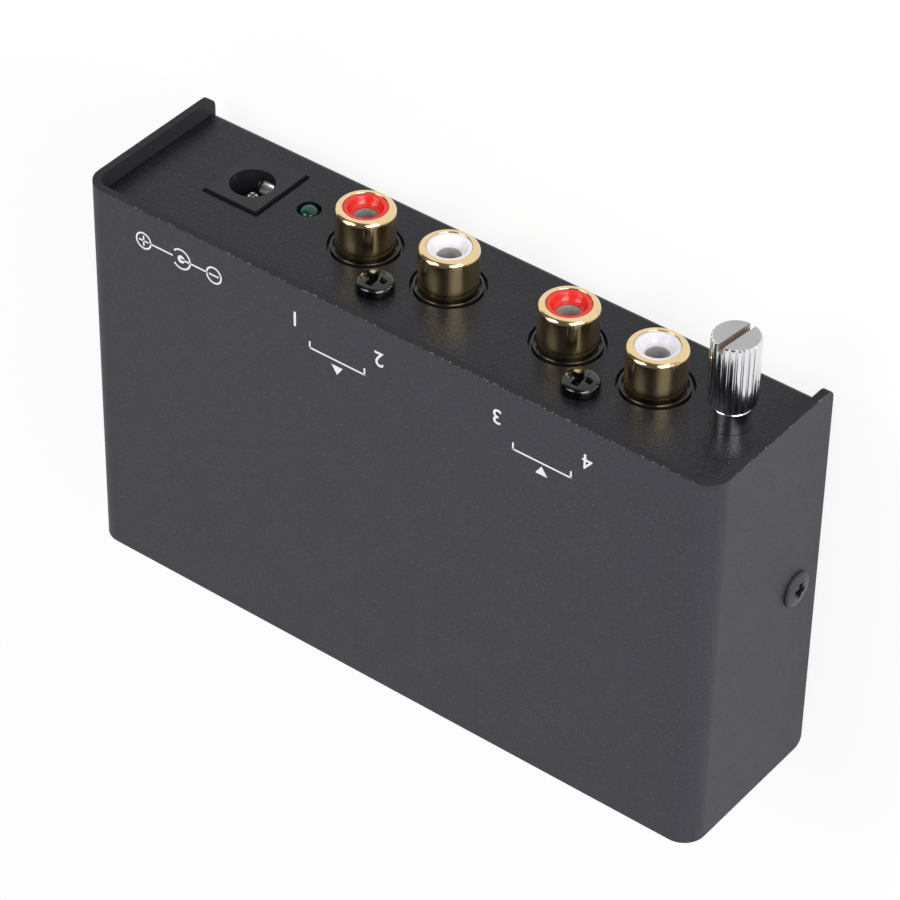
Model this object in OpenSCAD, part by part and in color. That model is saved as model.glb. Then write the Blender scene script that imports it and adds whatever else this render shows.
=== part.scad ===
// Phono preamp in a small two-piece sheet-steel box, in millimetres.
// It lies flat on its feet: +Z is up out of the label face, the connector panel looks along -Y,
// and +X is the end with the power inlet.

/* [Enclosure] */
// Width of the cover, from end wall to end wall
width = 104; // [102:0.5:110]
// Depth of the cover, front edge to rear edge
depth = 62.3; // [60:0.1:70]
// Height of the box without its feet
height = 26.5; // [25.5:0.1:32]
// Thickness of the cover sheet
cover_t = 1.2; // [1:0.05:1.5]
// Outer radius of the two bends of the cover
cover_bend = 3.4; // [2.5:0.1:5]
// Radius on the lower corners of the cover's end walls
cover_corner = 1.5; // [0.5:0.1:3]
// Thickness of the chassis sheet
chassis_t = 1; // [0.8:0.05:1]
// Outer radius of the two bends of the chassis
chassis_bend = 1.1; // [1.1:0.1:3]
// How far the panels sit inside the edges of the cover
panel_recess = 2.5; // [1.5:0.1:4]
// Gap between the cover and the ends of the chassis
side_gap = 0.2; // [0.1:0.05:0.4]

/* [Feet] */
// Height of a rubber foot
foot_h = 2.5; // [1.5:0.1:4]
// Radius of a rubber foot where it is stuck on
foot_r = 4; // [3:0.1:5]
// Distance of the feet from the middle, along the width
foot_x = 42.5; // [40:0.5:43]
// Distance of the feet from the middle, along the depth
foot_y = 20; // [19:0.5:24]

/* [Phono jacks] */
// Outer radius of a jack shell
shell_r = 4.15; // [4.1:0.01:4.2]
// How far a jack shell stands out of the panel
shell_reach = 6.4; // [5.5:0.1:9]
// Radius of the rolled lip of a shell
lip_roll = 0.8; // [0.6:0.05:0.9]
// Bore of the centre contact
contact_bore_r = 1.65; // [1.6:0.01:1.7]
// Distance between the two jacks of a pair
jack_pitch = 14; // [13.5:0.1:14.5]
// Middle of the input pair along the width
input_x = 8.4; // [7:0.1:10]
// Middle of the output pair along the width
output_x = -25.1; // [-26:0.1:-24]
// Height of the jack axes above the underside of the box
jack_z = 11.1; // [11:0.1:12]
// Radius of the panel holes round the jacks
jack_hole_r = 5.22; // [5.1:0.01:5.4]

/* [Power inlet] */
// Middle of the inlet along the width
inlet_x = 35.7; // [35:0.1:36.5]
// Width of the inlet housing
inlet_w = 9; // [8.8:0.1:9.2]
// Height of the inlet housing above the board
inlet_h = 11; // [10.8:0.1:11.2]
// Radius of the barrel that the plug enters
barrel_r = 3.2; // [3:0.05:3.3]
// Radius of the centre pin
pin_r = 1; // [0.95:0.05:1.05]
// Radius of the indicator lamp
lamp_r = 1.5; // [1.4:0.05:1.55]
// Middle of the lamp along the width
lamp_x = 26.3; // [25.5:0.1:27]
// Height of the lamp above the underside of the box
lamp_z = 9.6; // [9:0.1:10.5]

/* [Ground terminal] */
// Middle of the terminal along the width
post_x = -44; // [-44.5:0.1:-43.5]
// Height of the terminal above the underside of the box
post_z = 11.4; // [11:0.1:13]
// How far the terminal stands out of the panel
post_reach = 14; // [12:0.1:16]
// Outer radius of the knurled head
head_r = 3.3; // [3:0.05:3.6]
// Number of knurl ridges
ridge_count = 24; // [18:1:30]
// Outer radius of the standoff collar
collar_r = 2.69; // [2.6:0.01:2.8]
// Length of the collar outside the panel
collar_len = 3.3; // [3:0.1:4]
// Radius of the screw shank
shank_r = 1.45; // [1.42:0.01:1.48]

/* [Circuit board] */
// Width of the board
board_w = 94; // [93:0.5:96]
// Thickness of the board
board_t = 1.6; // [1.5:0.1:1.6]
// Height of the board's upper face above the underside of the box
board_top = 4; // [3.9:0.1:4.2]

/* [Hidden] */
$fn = 64;

// Colours as the photograph shows them.
powder_black = [0.29, 0.29, 0.31];
moulded_black = [0.12, 0.12, 0.13];
screw_black = [0.10, 0.10, 0.11];
rubber_black = [0.08, 0.08, 0.08];
bright_nickel = [0.80, 0.80, 0.82];
tin_grey = [0.72, 0.72, 0.74];
shell_gold = [0.86, 0.74, 0.50];
signal_red = [0.86, 0.13, 0.10];
jack_white = [0.93, 0.93, 0.94];
lens_green = [0.10, 0.42, 0.32];
board_green = [0.05, 0.30, 0.15];
film_yellow = [0.80, 0.55, 0.15];
can_blue = [0.10, 0.13, 0.30];
resistor_tan = [0.45, 0.62, 0.72];
ceramic_blue = [0.20, 0.35, 0.60];
chip_black = [0.10, 0.10, 0.10];

eps = 0.02;                  // gap kept between faces that meet
over = 1;                    // how far a cutting solid runs past what it cuts

// Places in the box frame, whose origin is the middle of the underside of the box.
panel_y = -depth / 2 + panel_recess;
inner_y = panel_y + chassis_t;
chassis_len = width - 2 * (cover_t + side_gap);
chassis_top = height - cover_t - 0.1;
box_y = (post_reach - panel_recess) / 2;
tail_z = board_top - board_t - 1;

// Screws that hold the cover, one in each end wall.
cover_screw_y = -0.8;
cover_screw_z = 5.4;
cover_head_r = 2.6;
cover_head_h = 0.9;
ear_w = 12;
ear_h = 9.5;
screw_clear_r = 1.6;
tapped_r = 1.5;

// Board fixings.
board_front = inner_y + 0.45;
board_rear = 20;
fixing_x = 43.5;
fixing_y = 11;
fixing_head_r = 2.75;
fixing_head_h = 1.9;
standoff_r = 3;
neck_r = 2.1;

// Phono jack, measured outward from the outer face of the panel.
shell_wall = 0.45;
shell_in = 8;
root_r = shell_r - 0.2;
root_top = 0.2;
lip_r = 3.1;
lip_floor = shell_reach - 0.5;
shoulder = shell_reach - lip_roll;
nose_top = shell_reach - 0.1;
dish_floor = shell_reach - 1.3;
contact_mouth = shell_reach - 1.6;
contact_wall = 0.3;
contact_end = -6.5;
tail_r = 0.6;
tail_back = 11.05;
tail_t = 0.4;
tail_w = 1.2;
tab_w = 1.4;
tab_in = 7;
block_w = 25.2;
block_up = 6.2;
block_back = 11;
block_ear_w = 11;
block_ear_up = 11.3;
block_screw_up = 6.75;
block_head_r = 2.65;
block_head_h = 1.9;
self_tap_r = 1.25;

// Power inlet, measured outward from the outer face of the panel.
inlet_proud = 0.4;
inlet_back = 13.8;
barrel_up = 6.2;
barrel_deep = 9.6;
pin_tip = -1.6;
lug_t = 0.4;
leaf_w = 2.4;

// Lamp, measured outward from the outer face of the panel.
lamp_tip = 0.4;
lamp_back = 4.9;
lamp_lead_gap = 1.27;
lamp_lead_back = 8;

// Ground terminal, measured outward from the outer face of the panel.
flange_r = 3.2;
flange_t = 0.7;
terminal_bore_r = 1.5;
washer_t = 0.5;
washer_r = 2.85;
washer_seat = collar_len + eps;
head_seat = washer_seat + washer_t + eps;
shank_tip = -2.6;
insert_r = 2.3;
insert_end = -4.2;
insert_floor = 0.8;
ridge_h = 0.3;
head_chamfer = 0.3;
slot_w = 0.9;
slot_deep = 1.1;
slot_tilt = 6;

// Places of the parts on the board, [x, y] of the middle of each.
chip_spots = [[10, -6], [-16, -6]];
filter_spots = [[37, -6], [37, 4]];
coupling_spots = [[-3, -6], [-29, -6], [23.5, -9], [23.5, -1.5]];
film_spots = [for (i = [0 : 7]) [-36 + 8.4 * i, 5]];
ceramic_spots = [[4, -13], [16, -13], [-22, -13], [-10, -13]];
resistor_spots = [for (i = [0 : 15]) [-37.5 + 5 * i, 14]];
regulator_spot = [27.5, -14.5];
diode_spot = [30, 0.5];

// Sizes of the parts on the board.
lead_r = 0.3;
lead_hole_r = 0.45;
seat = 0.1;
chip_len = 9.4;
chip_w = 6.35;
chip_h = 3.3;
chip_rise = 0.6;
chip_row = 3.81;
leg_pitch = 2.54;
leg_w = 0.5;
leg_t = 0.25;
filter_r = 4;
filter_h = 11.5;
filter_gap = 1.75;
coupling_r = 3.15;
coupling_h = 11;
coupling_gap = 1.25;
film_size = [7.2, 3, 6.5];
film_gap = 2.5;
ceramic_size = [5, 2.4, 5];
ceramic_gap = 1.27;
resistor_r = 1.15;
resistor_len = 6.3;
resistor_gap = 4.5;
resistor_up = 1.4;
wire_r = 0.28;
regulator_r = 2.4;
regulator_h = 4.8;
regulator_up = 2;
diode_r = 1.35;
diode_len = 4.2;
diode_gap = 4.5;
diode_up = 1.6;

// Every place along a line, mirrored about the middle.
function either_side(spots, dx, dy) = [
    for (spot = spots, side = [-1, 1]) [spot[0] + side * dx, spot[1] + side * dy]
];
function leg_spots(spot) = [
    for (i = [0 : 3], row = [-1, 1])
        [spot[0] + (i - 1.5) * leg_pitch, spot[1] + row * chip_row]
];
chip_leg_spots = concat(leg_spots(chip_spots[0]), leg_spots(chip_spots[1]));
regulator_leg_spots = [for (i = [-1 : 1]) [regulator_spot[0] + i * 1.27, regulator_spot[1]]];
lamp_lead_spots = [for (side = [-1, 1]) [lamp_x + side * lamp_lead_gap, panel_y + lamp_lead_back]];
lead_holes = concat(
    chip_leg_spots,
    either_side(filter_spots, filter_gap, 0),
    either_side(coupling_spots, coupling_gap, 0),
    either_side(film_spots, film_gap, 0),
    either_side(ceramic_spots, ceramic_gap, 0),
    either_side(resistor_spots, 0, resistor_gap),
    either_side([diode_spot], 0, diode_gap),
    regulator_leg_spots,
    lamp_lead_spots
);
jack_spots = [
    input_x + jack_pitch / 2, input_x - jack_pitch / 2,
    output_x + jack_pitch / 2, output_x - jack_pitch / 2
];

// Radius of the sphere that falls by drop at the distance r from its top.
function dome_radius(r, drop) = (r * r + drop * drop) / (2 * drop);

// Moves the box frame to the part's own frame, whose origin lies under the middle of the whole.
module placed() {
    translate([0, box_y, foot_h]) children();
}

// Children are drawn along +Z from the outer face of the connector panel outward.
module out_of_panel(x, z) {
    translate([x, panel_y, z]) rotate([90, 0, 0]) children();
}

// Children are drawn along +Z from the outer face of an end wall outward.
module out_of_end(side) {
    translate([side * width / 2, cover_screw_y, cover_screw_z]) rotate([0, side * 90, 0]) children();
}

// Outline that stands on Y = 0, with its two upper corners rounded.
module round_topped(w, h, r) {
    translate([-w / 2, 0]) square([w, h - r]);
    translate([r - w / 2, 0]) square([w - 2 * r, h]);
    for (side = [-1, 1]) translate([side * (w / 2 - r), h - r]) circle(r);
}

// The same outline upside down, with its two lower corners rounded.
module round_bottomed(w, h, r) {
    translate([0, h]) mirror([0, 1]) round_topped(w, h, r);
}

// Cross-shaped screwdriver recess sunk from Z = 0.
module cross_recess(span, deep, blade) {
    for (turn = [0, 90])
        rotate([90, 0, turn])
            linear_extrude(blade, center = true)
                polygon([[-span / 2, 0.1], [span / 2, 0.1], [span / 4, -deep], [-span / 4, -deep]]);
}

// Screw whose head sits on Z = 0 and whose shank runs down to -shank_len.
module cross_screw(r, h, drop, shank, shank_len, span, deep) {
    dome = dome_radius(r, drop);
    difference() {
        union() {
            intersection() {
                cylinder(h = h, r = r);
                translate([0, 0, h - dome]) sphere(dome, $fn = 128);
            }
            translate([0, 0, -shank_len]) cylinder(h = shank_len + 0.1, r = shank);
        }
        translate([0, 0, h]) cross_recess(span, deep, 0.62);
    }
}

// A wire that leaves along -Y, turns down at its end and goes through the board.
module bent_lead(spot, reach, up) {
    translate([spot[0], spot[1], tail_z]) cylinder(h = board_top + up - tail_z, r = wire_r, $fn = 24);
    translate([spot[0], spot[1], board_top + up]) {
        sphere(wire_r, $fn = 24);
        rotate([reach > 0 ? -90 : 90, 0, 0]) cylinder(h = abs(reach), r = wire_r, $fn = 24);
    }
}

module cover() {
    placed() color(powder_black) difference() {
        intersection() {
            rotate([90, 0, 0])
                linear_extrude(depth, center = true) round_topped(width, height, cover_bend);
            rotate([90, 0, 90])
                linear_extrude(width + 2 * over, center = true)
                    round_bottomed(depth, height, cover_corner);
        }
        rotate([90, 0, 0]) linear_extrude(depth + 2 * over, center = true)
            translate([0, -over])
                round_topped(width - 2 * cover_t, height - cover_t + over, cover_bend - cover_t);
        for (side = [-1, 1])
            out_of_end(side) translate([0, 0, -cover_t - over])
                cylinder(h = cover_t + 2 * over, r = screw_clear_r + 0.1);
    }
}

module chassis_channel() {
    inner_w = depth - 2 * (panel_recess + chassis_t);
    intersection() {
        rotate([90, 0, 90]) linear_extrude(chassis_len, center = true) difference() {
            round_bottomed(depth - 2 * panel_recess, chassis_top, chassis_bend);
            translate([0, chassis_t])
                round_bottomed(inner_w, chassis_top, chassis_bend - chassis_t);
        }
        rotate([90, 0, 0]) linear_extrude(depth, center = true)
            round_topped(chassis_len, chassis_top, cover_bend - cover_t);
    }
}

module chassis_ears() {
    for (side = [-1, 1])
        translate([side * (chassis_len - chassis_t) / 2, cover_screw_y, ear_h / 2])
            cube([chassis_t, ear_w, ear_h], center = true);
}

module inlet_cutout() {
    low = board_top - 0.15;
    translate([inlet_x - inlet_w / 2 - 0.45, panel_y - over, low])
        cube([inlet_w + 0.6, chassis_t + 2 * over, inlet_h + 0.55]);
}

// Cuts a round hole through the connector panel.
module panel_hole(x, z, r) {
    out_of_panel(x, z) translate([0, 0, -chassis_t - over]) cylinder(h = chassis_t + 2 * over, r = r);
}

module chassis() {
    placed() color(powder_black) difference() {
        union() {
            chassis_channel();
            chassis_ears();
        }
        inlet_cutout();
        for (x = jack_spots) panel_hole(x, jack_z, jack_hole_r);
        for (x = [input_x, output_x]) panel_hole(x, jack_z + block_screw_up, screw_clear_r);
        panel_hole(lamp_x, lamp_z, lamp_r + 0.22);
        panel_hole(post_x, post_z, collar_r + eps);
        for (x = [-fixing_x, fixing_x], y = [-fixing_y, fixing_y])
            translate([x, y, -over]) cylinder(h = chassis_t + 2 * over, r = neck_r + eps);
        for (side = [-1, 1])
            out_of_end(side) translate([0, 0, -8]) cylinder(h = 8 - cover_t, r = tapped_r);
    }
}

module cover_screws() {
    placed() color(screw_black) for (side = [-1, 1])
        out_of_end(side) translate([0, 0, eps])
            rotate([0, 0, 35]) cross_screw(cover_head_r, cover_head_h, 0.35, shank_r, 4.6, 2.4, 0.8);
}

module rubber_feet() {
    placed() color(rubber_black) for (x = [-foot_x, foot_x], y = [-foot_y, foot_y])
        translate([x, y, -foot_h]) rotate_extrude() polygon([
            [0, 0.3], [foot_r * 0.35, 0.3], [foot_r * 0.45, 0], [foot_r * 0.75, 0],
            [foot_r * 0.86, 0.35], [foot_r, foot_h], [0, foot_h]
        ]);
}

module board_standoffs() {
    placed() color(tin_grey) for (x = [-fixing_x, fixing_x], y = [-fixing_y, fixing_y])
        translate([x, y, 0]) difference() {
            union() {
                translate([0, 0, chassis_t]) cylinder(h = board_top - board_t - chassis_t, r = standoff_r);
                cylinder(h = chassis_t + 0.1, r = neck_r);
            }
            translate([0, 0, -over]) cylinder(h = board_top + over, r = tapped_r);
        }
}

module board_screws() {
    placed() color(bright_nickel) for (x = [-fixing_x, fixing_x], y = [-fixing_y, fixing_y])
        translate([x, y, board_top + eps])
            cross_screw(fixing_head_r, fixing_head_h, 0.7, shank_r, board_top - 0.4, 2.8, 1.2);
}

// Holes for the terminals of the inlet, [x, y, radius].
inlet_holes = [
    [inlet_x, panel_y + inlet_back + eps + lug_t / 2, 1.35],
    [inlet_x, panel_y + 7.8, 1.15],
    [inlet_x - inlet_w / 2 - eps - lug_t / 2, panel_y + 10.6, 1.15]
];

module circuit_board() {
    placed() color(board_green) difference() {
        translate([-board_w / 2, board_front, board_top - board_t])
            cube([board_w, board_rear - board_front, board_t]);
        for (x = [-fixing_x, fixing_x], y = [-fixing_y, fixing_y]) board_hole([x, y], 1.65);
        for (spot = lead_holes) board_hole(spot, lead_hole_r);
        for (hole = inlet_holes) board_hole(hole, hole[2]);
        for (x = jack_spots) {
            board_hole([x, panel_y + tail_back + tail_t / 2], 0.75);
            board_hole([x, panel_y + tab_in + tail_t / 2], 0.85);
        }
    }
}

module board_hole(spot, r) {
    translate([spot[0], spot[1], board_top - board_t - over])
        cylinder(h = board_t + 2 * over, r = r, $fn = 24);
}

module dc_jack_housing() {
    axis_z = board_top + barrel_up;
    placed() color(moulded_black) difference() {
        union() {
            translate([inlet_x - inlet_w / 2, panel_y - inlet_proud, board_top + eps])
                cube([inlet_w, 3.4 + inlet_proud, inlet_h - eps]);
            translate([inlet_x - inlet_w / 2, panel_y, board_top + eps])
                cube([inlet_w, inlet_back, inlet_h - 0.6]);
        }
        out_of_panel(inlet_x, axis_z) {
            translate([0, 0, -barrel_deep]) cylinder(h = barrel_deep + over, r = barrel_r);
            translate([0, 0, -inlet_back - over]) cylinder(h = inlet_back, r = pin_r * 0.7 + eps);
            translate([-leaf_w / 2 - 0.15, -barrel_up + 0.6, -inlet_back + 2])
                cube([leaf_w + 0.3, barrel_up - 1, inlet_back - 3]);
            translate([-1.3, -barrel_up - over, -8.2]) cube([2.6, 2.6, 0.8]);
        }
    }
}

module dc_jack_pin() {
    neck = pin_r * 0.7;
    placed() color(bright_nickel) out_of_panel(inlet_x, board_top + barrel_up) difference() {
        union() {
            intersection() {
                translate([0, 0, -barrel_deep + eps]) cylinder(h = barrel_deep + pin_tip - eps, r = pin_r);
                translate([0, 0, pin_tip - 1.3]) cylinder(h = 20, r1 = 1.6, r2 = 0, center = true);
            }
            translate([0, 0, -barrel_deep + eps])
                cylinder(h = barrel_deep + pin_tip - 0.8, r = pin_r);
            translate([0, 0, -inlet_back - eps]) cylinder(h = 5, r = neck);
        }
        for (turn = [0, 90]) rotate([0, 0, turn]) translate([-0.12, -2, pin_tip - 1.2]) cube([0.24, 4, 2]);
    }
}

// Bent leaf under the barrel, drawn from the side as [outward, up] and given its width.
module dc_jack_spring() {
    t = 0.3;
    low = -3.9;
    rise = -low - (barrel_r - 0.75);
    crest = [for (i = [0 : 16]) [4.6 * i / 16 - 6, low + rise * pow(sin(180 * i / 16), 2)]];
    upper = concat([[-11, low]], crest);
    lower = [for (i = [len(upper) - 1 : -1 : 0]) [upper[i][0], upper[i][1] - t]];
    placed() color(bright_nickel) out_of_panel(inlet_x, board_top + barrel_up)
        rotate([0, -90, 0]) linear_extrude(leaf_w, center = true) polygon(concat(upper, lower));
}

module dc_jack_lugs() {
    placed() color(tin_grey) {
        translate([inlet_x - 1.2, panel_y + inlet_back + eps, tail_z])
            cube([2.4, lug_t, board_top + barrel_up + 1 - tail_z]);
        translate([inlet_x - 1, panel_y + 7.6, tail_z])
            cube([2, lug_t, board_top + 1.9 - tail_z]);
        translate([inlet_x - inlet_w / 2 - eps - lug_t, panel_y + 9.6, tail_z])
            cube([lug_t, 2, board_top + 4 - tail_z]);
    }
}

module power_lamp() {
    placed() color(lens_green) out_of_panel(lamp_x, lamp_z) {
        translate([0, 0, -lamp_back]) cylinder(h = 1, r = lamp_r + 0.4);
        translate([0, 0, -lamp_back]) cylinder(h = lamp_back + lamp_tip - lamp_r, r = lamp_r);
        translate([0, 0, lamp_tip - lamp_r]) sphere(lamp_r);
    }
}

module lamp_leads() {
    placed() color(tin_grey) for (spot = lamp_lead_spots)
        bent_lead(spot, lamp_back - lamp_lead_back + eps, lamp_z - board_top);
}

// One jack's collar round the shell, which shows in the panel hole.
module jack_collar() {
    translate([0, 0, -chassis_t - eps - 0.1]) cylinder(h = chassis_t - 0.6, r = jack_hole_r - 0.22);
    translate([0, 0, -chassis_t - eps]) difference() {
        cylinder(h = chassis_t + eps + 0.1, r = 4.75);
        translate([0, 0, 0.4]) cylinder(h = 2, r = 4.45);
    }
}

module jack_block() {
    front = -chassis_t - eps;
    low = board_top + eps - jack_z;
    difference() {
        union() {
            translate([-block_w / 2, low, -block_back])
                cube([block_w, block_up - low, block_back + front]);
            translate([-block_ear_w / 2, 0, -8]) cube([block_ear_w, block_ear_up, 8 + front]);
            for (side = [-1, 1]) translate([side * jack_pitch / 2, 0, 0]) jack_collar();
        }
        for (side = [-1, 1]) translate([side * jack_pitch / 2, 0, 0]) {
            translate([0, 0, -shell_in - 1]) cylinder(h = shell_in + 2, r = root_r + eps);
            translate([0, 0, -block_back - over]) cylinder(h = 5, r = tail_r + 0.05);
            translate([-tab_w / 2 - 0.15, low - over, -tab_in - tail_t - 0.15])
                cube([tab_w + 0.3, -low + over - 2, tail_t + 0.3]);
        }
        translate([0, block_screw_up, -7]) cylinder(h = 7, r = self_tap_r);
    }
}

module input_jack_block() {
    placed() color(moulded_black) out_of_panel(input_x, jack_z) jack_block();
}

module output_jack_block() {
    placed() color(moulded_black) out_of_panel(output_x, jack_z) jack_block();
}

module jack_shell() {
    inner = shell_r - shell_wall;
    rotate_extrude() difference() {
        union() {
            translate([inner, -shell_in]) square([root_r - inner, shell_in + root_top]);
            translate([inner, root_top]) square([shell_wall, shoulder - root_top]);
            translate([lip_r, lip_floor - 0.4])
                square([shell_r - lip_roll - lip_r, shell_reach - lip_floor + 0.4]);
            translate([shell_r - lip_roll, shoulder]) circle(lip_roll);
        }
        translate([0, -shell_in - over]) square([inner, shell_in + over + lip_floor]);
        translate([0, -shell_in - over]) square([lip_r, shell_in + shell_reach + 2 * over]);
    }
    translate([-tab_w / 2, tail_z - jack_z, -tab_in - tail_t])
        cube([tab_w, jack_z - tail_z - shell_r + 0.25, tail_t]);
}

module input_jack_shells() {
    placed() color(shell_gold) for (x = [jack_spots[0], jack_spots[1]])
        out_of_panel(x, jack_z) jack_shell();
}

module output_jack_shells() {
    placed() color(shell_gold) for (x = [jack_spots[2], jack_spots[3]])
        out_of_panel(x, jack_z) jack_shell();
}

module jack_insulator() {
    body_r = shell_r - shell_wall - eps;
    nose_r = lip_r - eps;
    pocket_r = contact_bore_r + contact_wall + eps;
    rotate_extrude() polygon([
        [tail_r + 0.05, -shell_in - 0.2], [body_r, -shell_in - 0.2], [body_r, lip_floor - eps],
        [nose_r, lip_floor - eps], [nose_r, nose_top], [nose_r - 0.25, nose_top],
        [contact_bore_r + 0.15, dish_floor], [contact_bore_r, dish_floor - 0.15],
        [contact_bore_r, contact_mouth + eps], [pocket_r, contact_mouth + eps],
        [pocket_r, contact_end - 0.7], [tail_r + 0.05, contact_end - 0.7]
    ]);
}

module red_insulators() {
    placed() color(signal_red) for (x = [jack_spots[0], jack_spots[2]])
        out_of_panel(x, jack_z) jack_insulator();
}

module white_insulators() {
    placed() color(jack_white) for (x = [jack_spots[1], jack_spots[3]])
        out_of_panel(x, jack_z) jack_insulator();
}

module centre_contact() {
    tube_r = contact_bore_r + contact_wall;
    difference() {
        translate([0, 0, contact_end - 0.6]) cylinder(h = contact_mouth - contact_end + 0.6, r = tube_r);
        translate([0, 0, contact_end]) cylinder(h = contact_mouth - contact_end + over, r = contact_bore_r);
    }
    translate([0, 0, -tail_back - tail_t])
        cylinder(h = tail_back + tail_t + contact_end - 0.5, r = tail_r, $fn = 32);
    translate([-tail_w / 2, tail_z - jack_z, -tail_back - tail_t])
        cube([tail_w, jack_z - tail_z + 0.5, tail_t]);
}

module jack_centre_contacts() {
    placed() color(tin_grey) for (x = jack_spots) out_of_panel(x, jack_z) centre_contact();
}

module jack_block_screws() {
    placed() color(screw_black) for (x = [input_x, output_x])
        out_of_panel(x, jack_z + block_screw_up) translate([0, 0, eps])
            rotate([0, 0, 20]) cross_screw(block_head_r, block_head_h, 0.75, shank_r, 6.5, 2.9, 1.3);
}

// A threaded insert with a closed inner end, so that no dust gets in past the screw.
module ground_standoff() {
    placed() color(bright_nickel) out_of_panel(post_x, post_z) difference() {
        union() {
            translate([0, 0, -chassis_t - eps]) cylinder(h = chassis_t + eps + collar_len, r = collar_r);
            translate([0, 0, -chassis_t - eps - flange_t]) cylinder(h = flange_t, r = flange_r);
            translate([0, 0, insert_end]) cylinder(h = -chassis_t - insert_end, r = insert_r);
        }
        translate([0, 0, insert_end + insert_floor]) cylinder(h = 20, r = terminal_bore_r);
    }
}

module clamp_washer() {
    placed() color(bright_nickel) out_of_panel(post_x, post_z) difference() {
        translate([0, 0, washer_seat]) cylinder(h = washer_t, r = washer_r);
        translate([0, 0, washer_seat - over]) cylinder(h = washer_t + 2 * over, r = terminal_bore_r);
    }
}

// Points of one knurl ridge and the groove beside it, for ridge number i.
function ridge(i) =
    let (step = 360 / ridge_count, root = head_r - ridge_h)
    [for (p = [[0, root], [0.22, head_r - 0.05], [0.4, head_r], [0.6, head_r], [0.78, head_r - 0.05]])
        p[1] * [cos((i + p[0]) * step), sin((i + p[0]) * step)]];

module thumb_screw() {
    placed() color(bright_nickel) out_of_panel(post_x, post_z) {
        difference() {
            intersection() {
                translate([0, 0, head_seat]) linear_extrude(post_reach - head_seat)
                    polygon([for (i = [0 : ridge_count - 1]) each ridge(i)]);
                rotate_extrude() polygon([
                    [0, head_seat], [head_r - head_chamfer, head_seat], [head_r, head_seat + 0.4],
                    [head_r, post_reach - 0.4], [head_r - head_chamfer, post_reach], [0, post_reach]
                ]);
            }
            rotate([0, 0, 90 - slot_tilt]) translate([-2 * head_r, -slot_w / 2, post_reach - slot_deep])
                cube([4 * head_r, slot_w, slot_deep + over]);
        }
        translate([0, 0, shank_tip]) cylinder(h = head_seat - shank_tip + 0.1, r = shank_r);
    }
}

module amplifier_chips() {
    placed() color(chip_black) for (spot = chip_spots)
        translate([spot[0] - chip_len / 2, spot[1] - chip_w / 2, board_top + chip_rise]) difference() {
            cube([chip_len, chip_w, chip_h]);
            translate([0, chip_w / 2, chip_h - 0.3]) cylinder(h = 1, r = 0.8, $fn = 32);
        }
}

// Leg of an amplifier chip: a short shelf out of the body's side, then straight down.
module chip_leg(spot, row) {
    shelf = chip_row - chip_w / 2;
    translate([spot[0] - leg_w / 2, spot[1] - leg_t / 2, tail_z])
        cube([leg_w, leg_t, board_top + chip_rise + chip_h / 2 - tail_z]);
    translate([spot[0] - 0.7, row > 0 ? spot[1] - shelf + eps : spot[1] - leg_t / 2,
               board_top + chip_rise + chip_h / 2 - leg_t])
        cube([1.4, shelf + leg_t / 2 - eps, leg_t]);
}

module chip_legs() {
    placed() color(tin_grey) for (chip = chip_spots, spot = leg_spots(chip))
        chip_leg(spot, spot[1] - chip[1]);
}

module can_body(r, h) {
    difference() {
        cylinder(h = h, r = r);
        translate([0, 0, 1]) rotate_extrude() translate([r + 0.25, 0]) circle(0.5, $fn = 24);
    }
}

module filter_capacitors() {
    placed() color(can_blue) for (spot = filter_spots)
        translate([spot[0], spot[1], board_top + seat]) can_body(filter_r, filter_h);
}

module coupling_capacitors() {
    placed() color(can_blue) for (spot = coupling_spots)
        translate([spot[0], spot[1], board_top + seat]) can_body(coupling_r, coupling_h);
}

module boxed(spots, size) {
    for (spot = spots)
        translate([spot[0] - size[0] / 2, spot[1] - size[1] / 2, board_top + seat]) cube(size);
}

module film_capacitors() {
    placed() color(film_yellow) boxed(film_spots, film_size);
}

module ceramic_capacitors() {
    placed() color(ceramic_blue) boxed(ceramic_spots, ceramic_size);
}

module straight_leads(spots, up) {
    for (spot = spots)
        translate([spot[0], spot[1], tail_z])
            cylinder(h = board_top + up - tail_z, r = lead_r, $fn = 24);
}

module capacitor_leads() {
    placed() color(tin_grey) {
        straight_leads(either_side(filter_spots, filter_gap, 0), seat);
        straight_leads(either_side(coupling_spots, coupling_gap, 0), seat);
        straight_leads(either_side(film_spots, film_gap, 0), seat);
        straight_leads(either_side(ceramic_spots, ceramic_gap, 0), seat);
    }
}

module axial_body(spot, r, len, up) {
    translate([spot[0], spot[1], board_top + up]) rotate([90, 0, 0])
        cylinder(h = len, r = r, center = true, $fn = 32);
}

module axial_leads(spot, gap, len, up) {
    bent_lead([spot[0], spot[1] - gap], gap - len / 2, up);
    bent_lead([spot[0], spot[1] + gap], len / 2 - gap, up);
}

module resistors() {
    placed() color(resistor_tan) for (spot = resistor_spots) {
        axial_body(spot, resistor_r * 0.86, resistor_len, resistor_up);
        for (side = [-1, 1])
            axial_body([spot[0], spot[1] + side * (resistor_len / 2 - 0.8)], resistor_r, 1.6, resistor_up);
    }
}

module resistor_leads() {
    placed() color(tin_grey) for (spot = resistor_spots)
        axial_leads(spot, resistor_gap, resistor_len, resistor_up);
}

module voltage_regulator() {
    placed() color(chip_black)
        translate([regulator_spot[0], regulator_spot[1], board_top + regulator_up]) difference() {
            cylinder(h = regulator_h, r = regulator_r);
            translate([-5, 1.3, -over]) cube([10, 5, regulator_h + 2 * over]);
        }
}

module regulator_legs() {
    placed() color(tin_grey) straight_leads(regulator_leg_spots, regulator_up);
}

module polarity_diode() {
    placed() color(chip_black) axial_body(diode_spot, diode_r, diode_len, diode_up);
}

module diode_leads() {
    placed() color(tin_grey) axial_leads(diode_spot, diode_gap, diode_len, diode_up);
}

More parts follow.
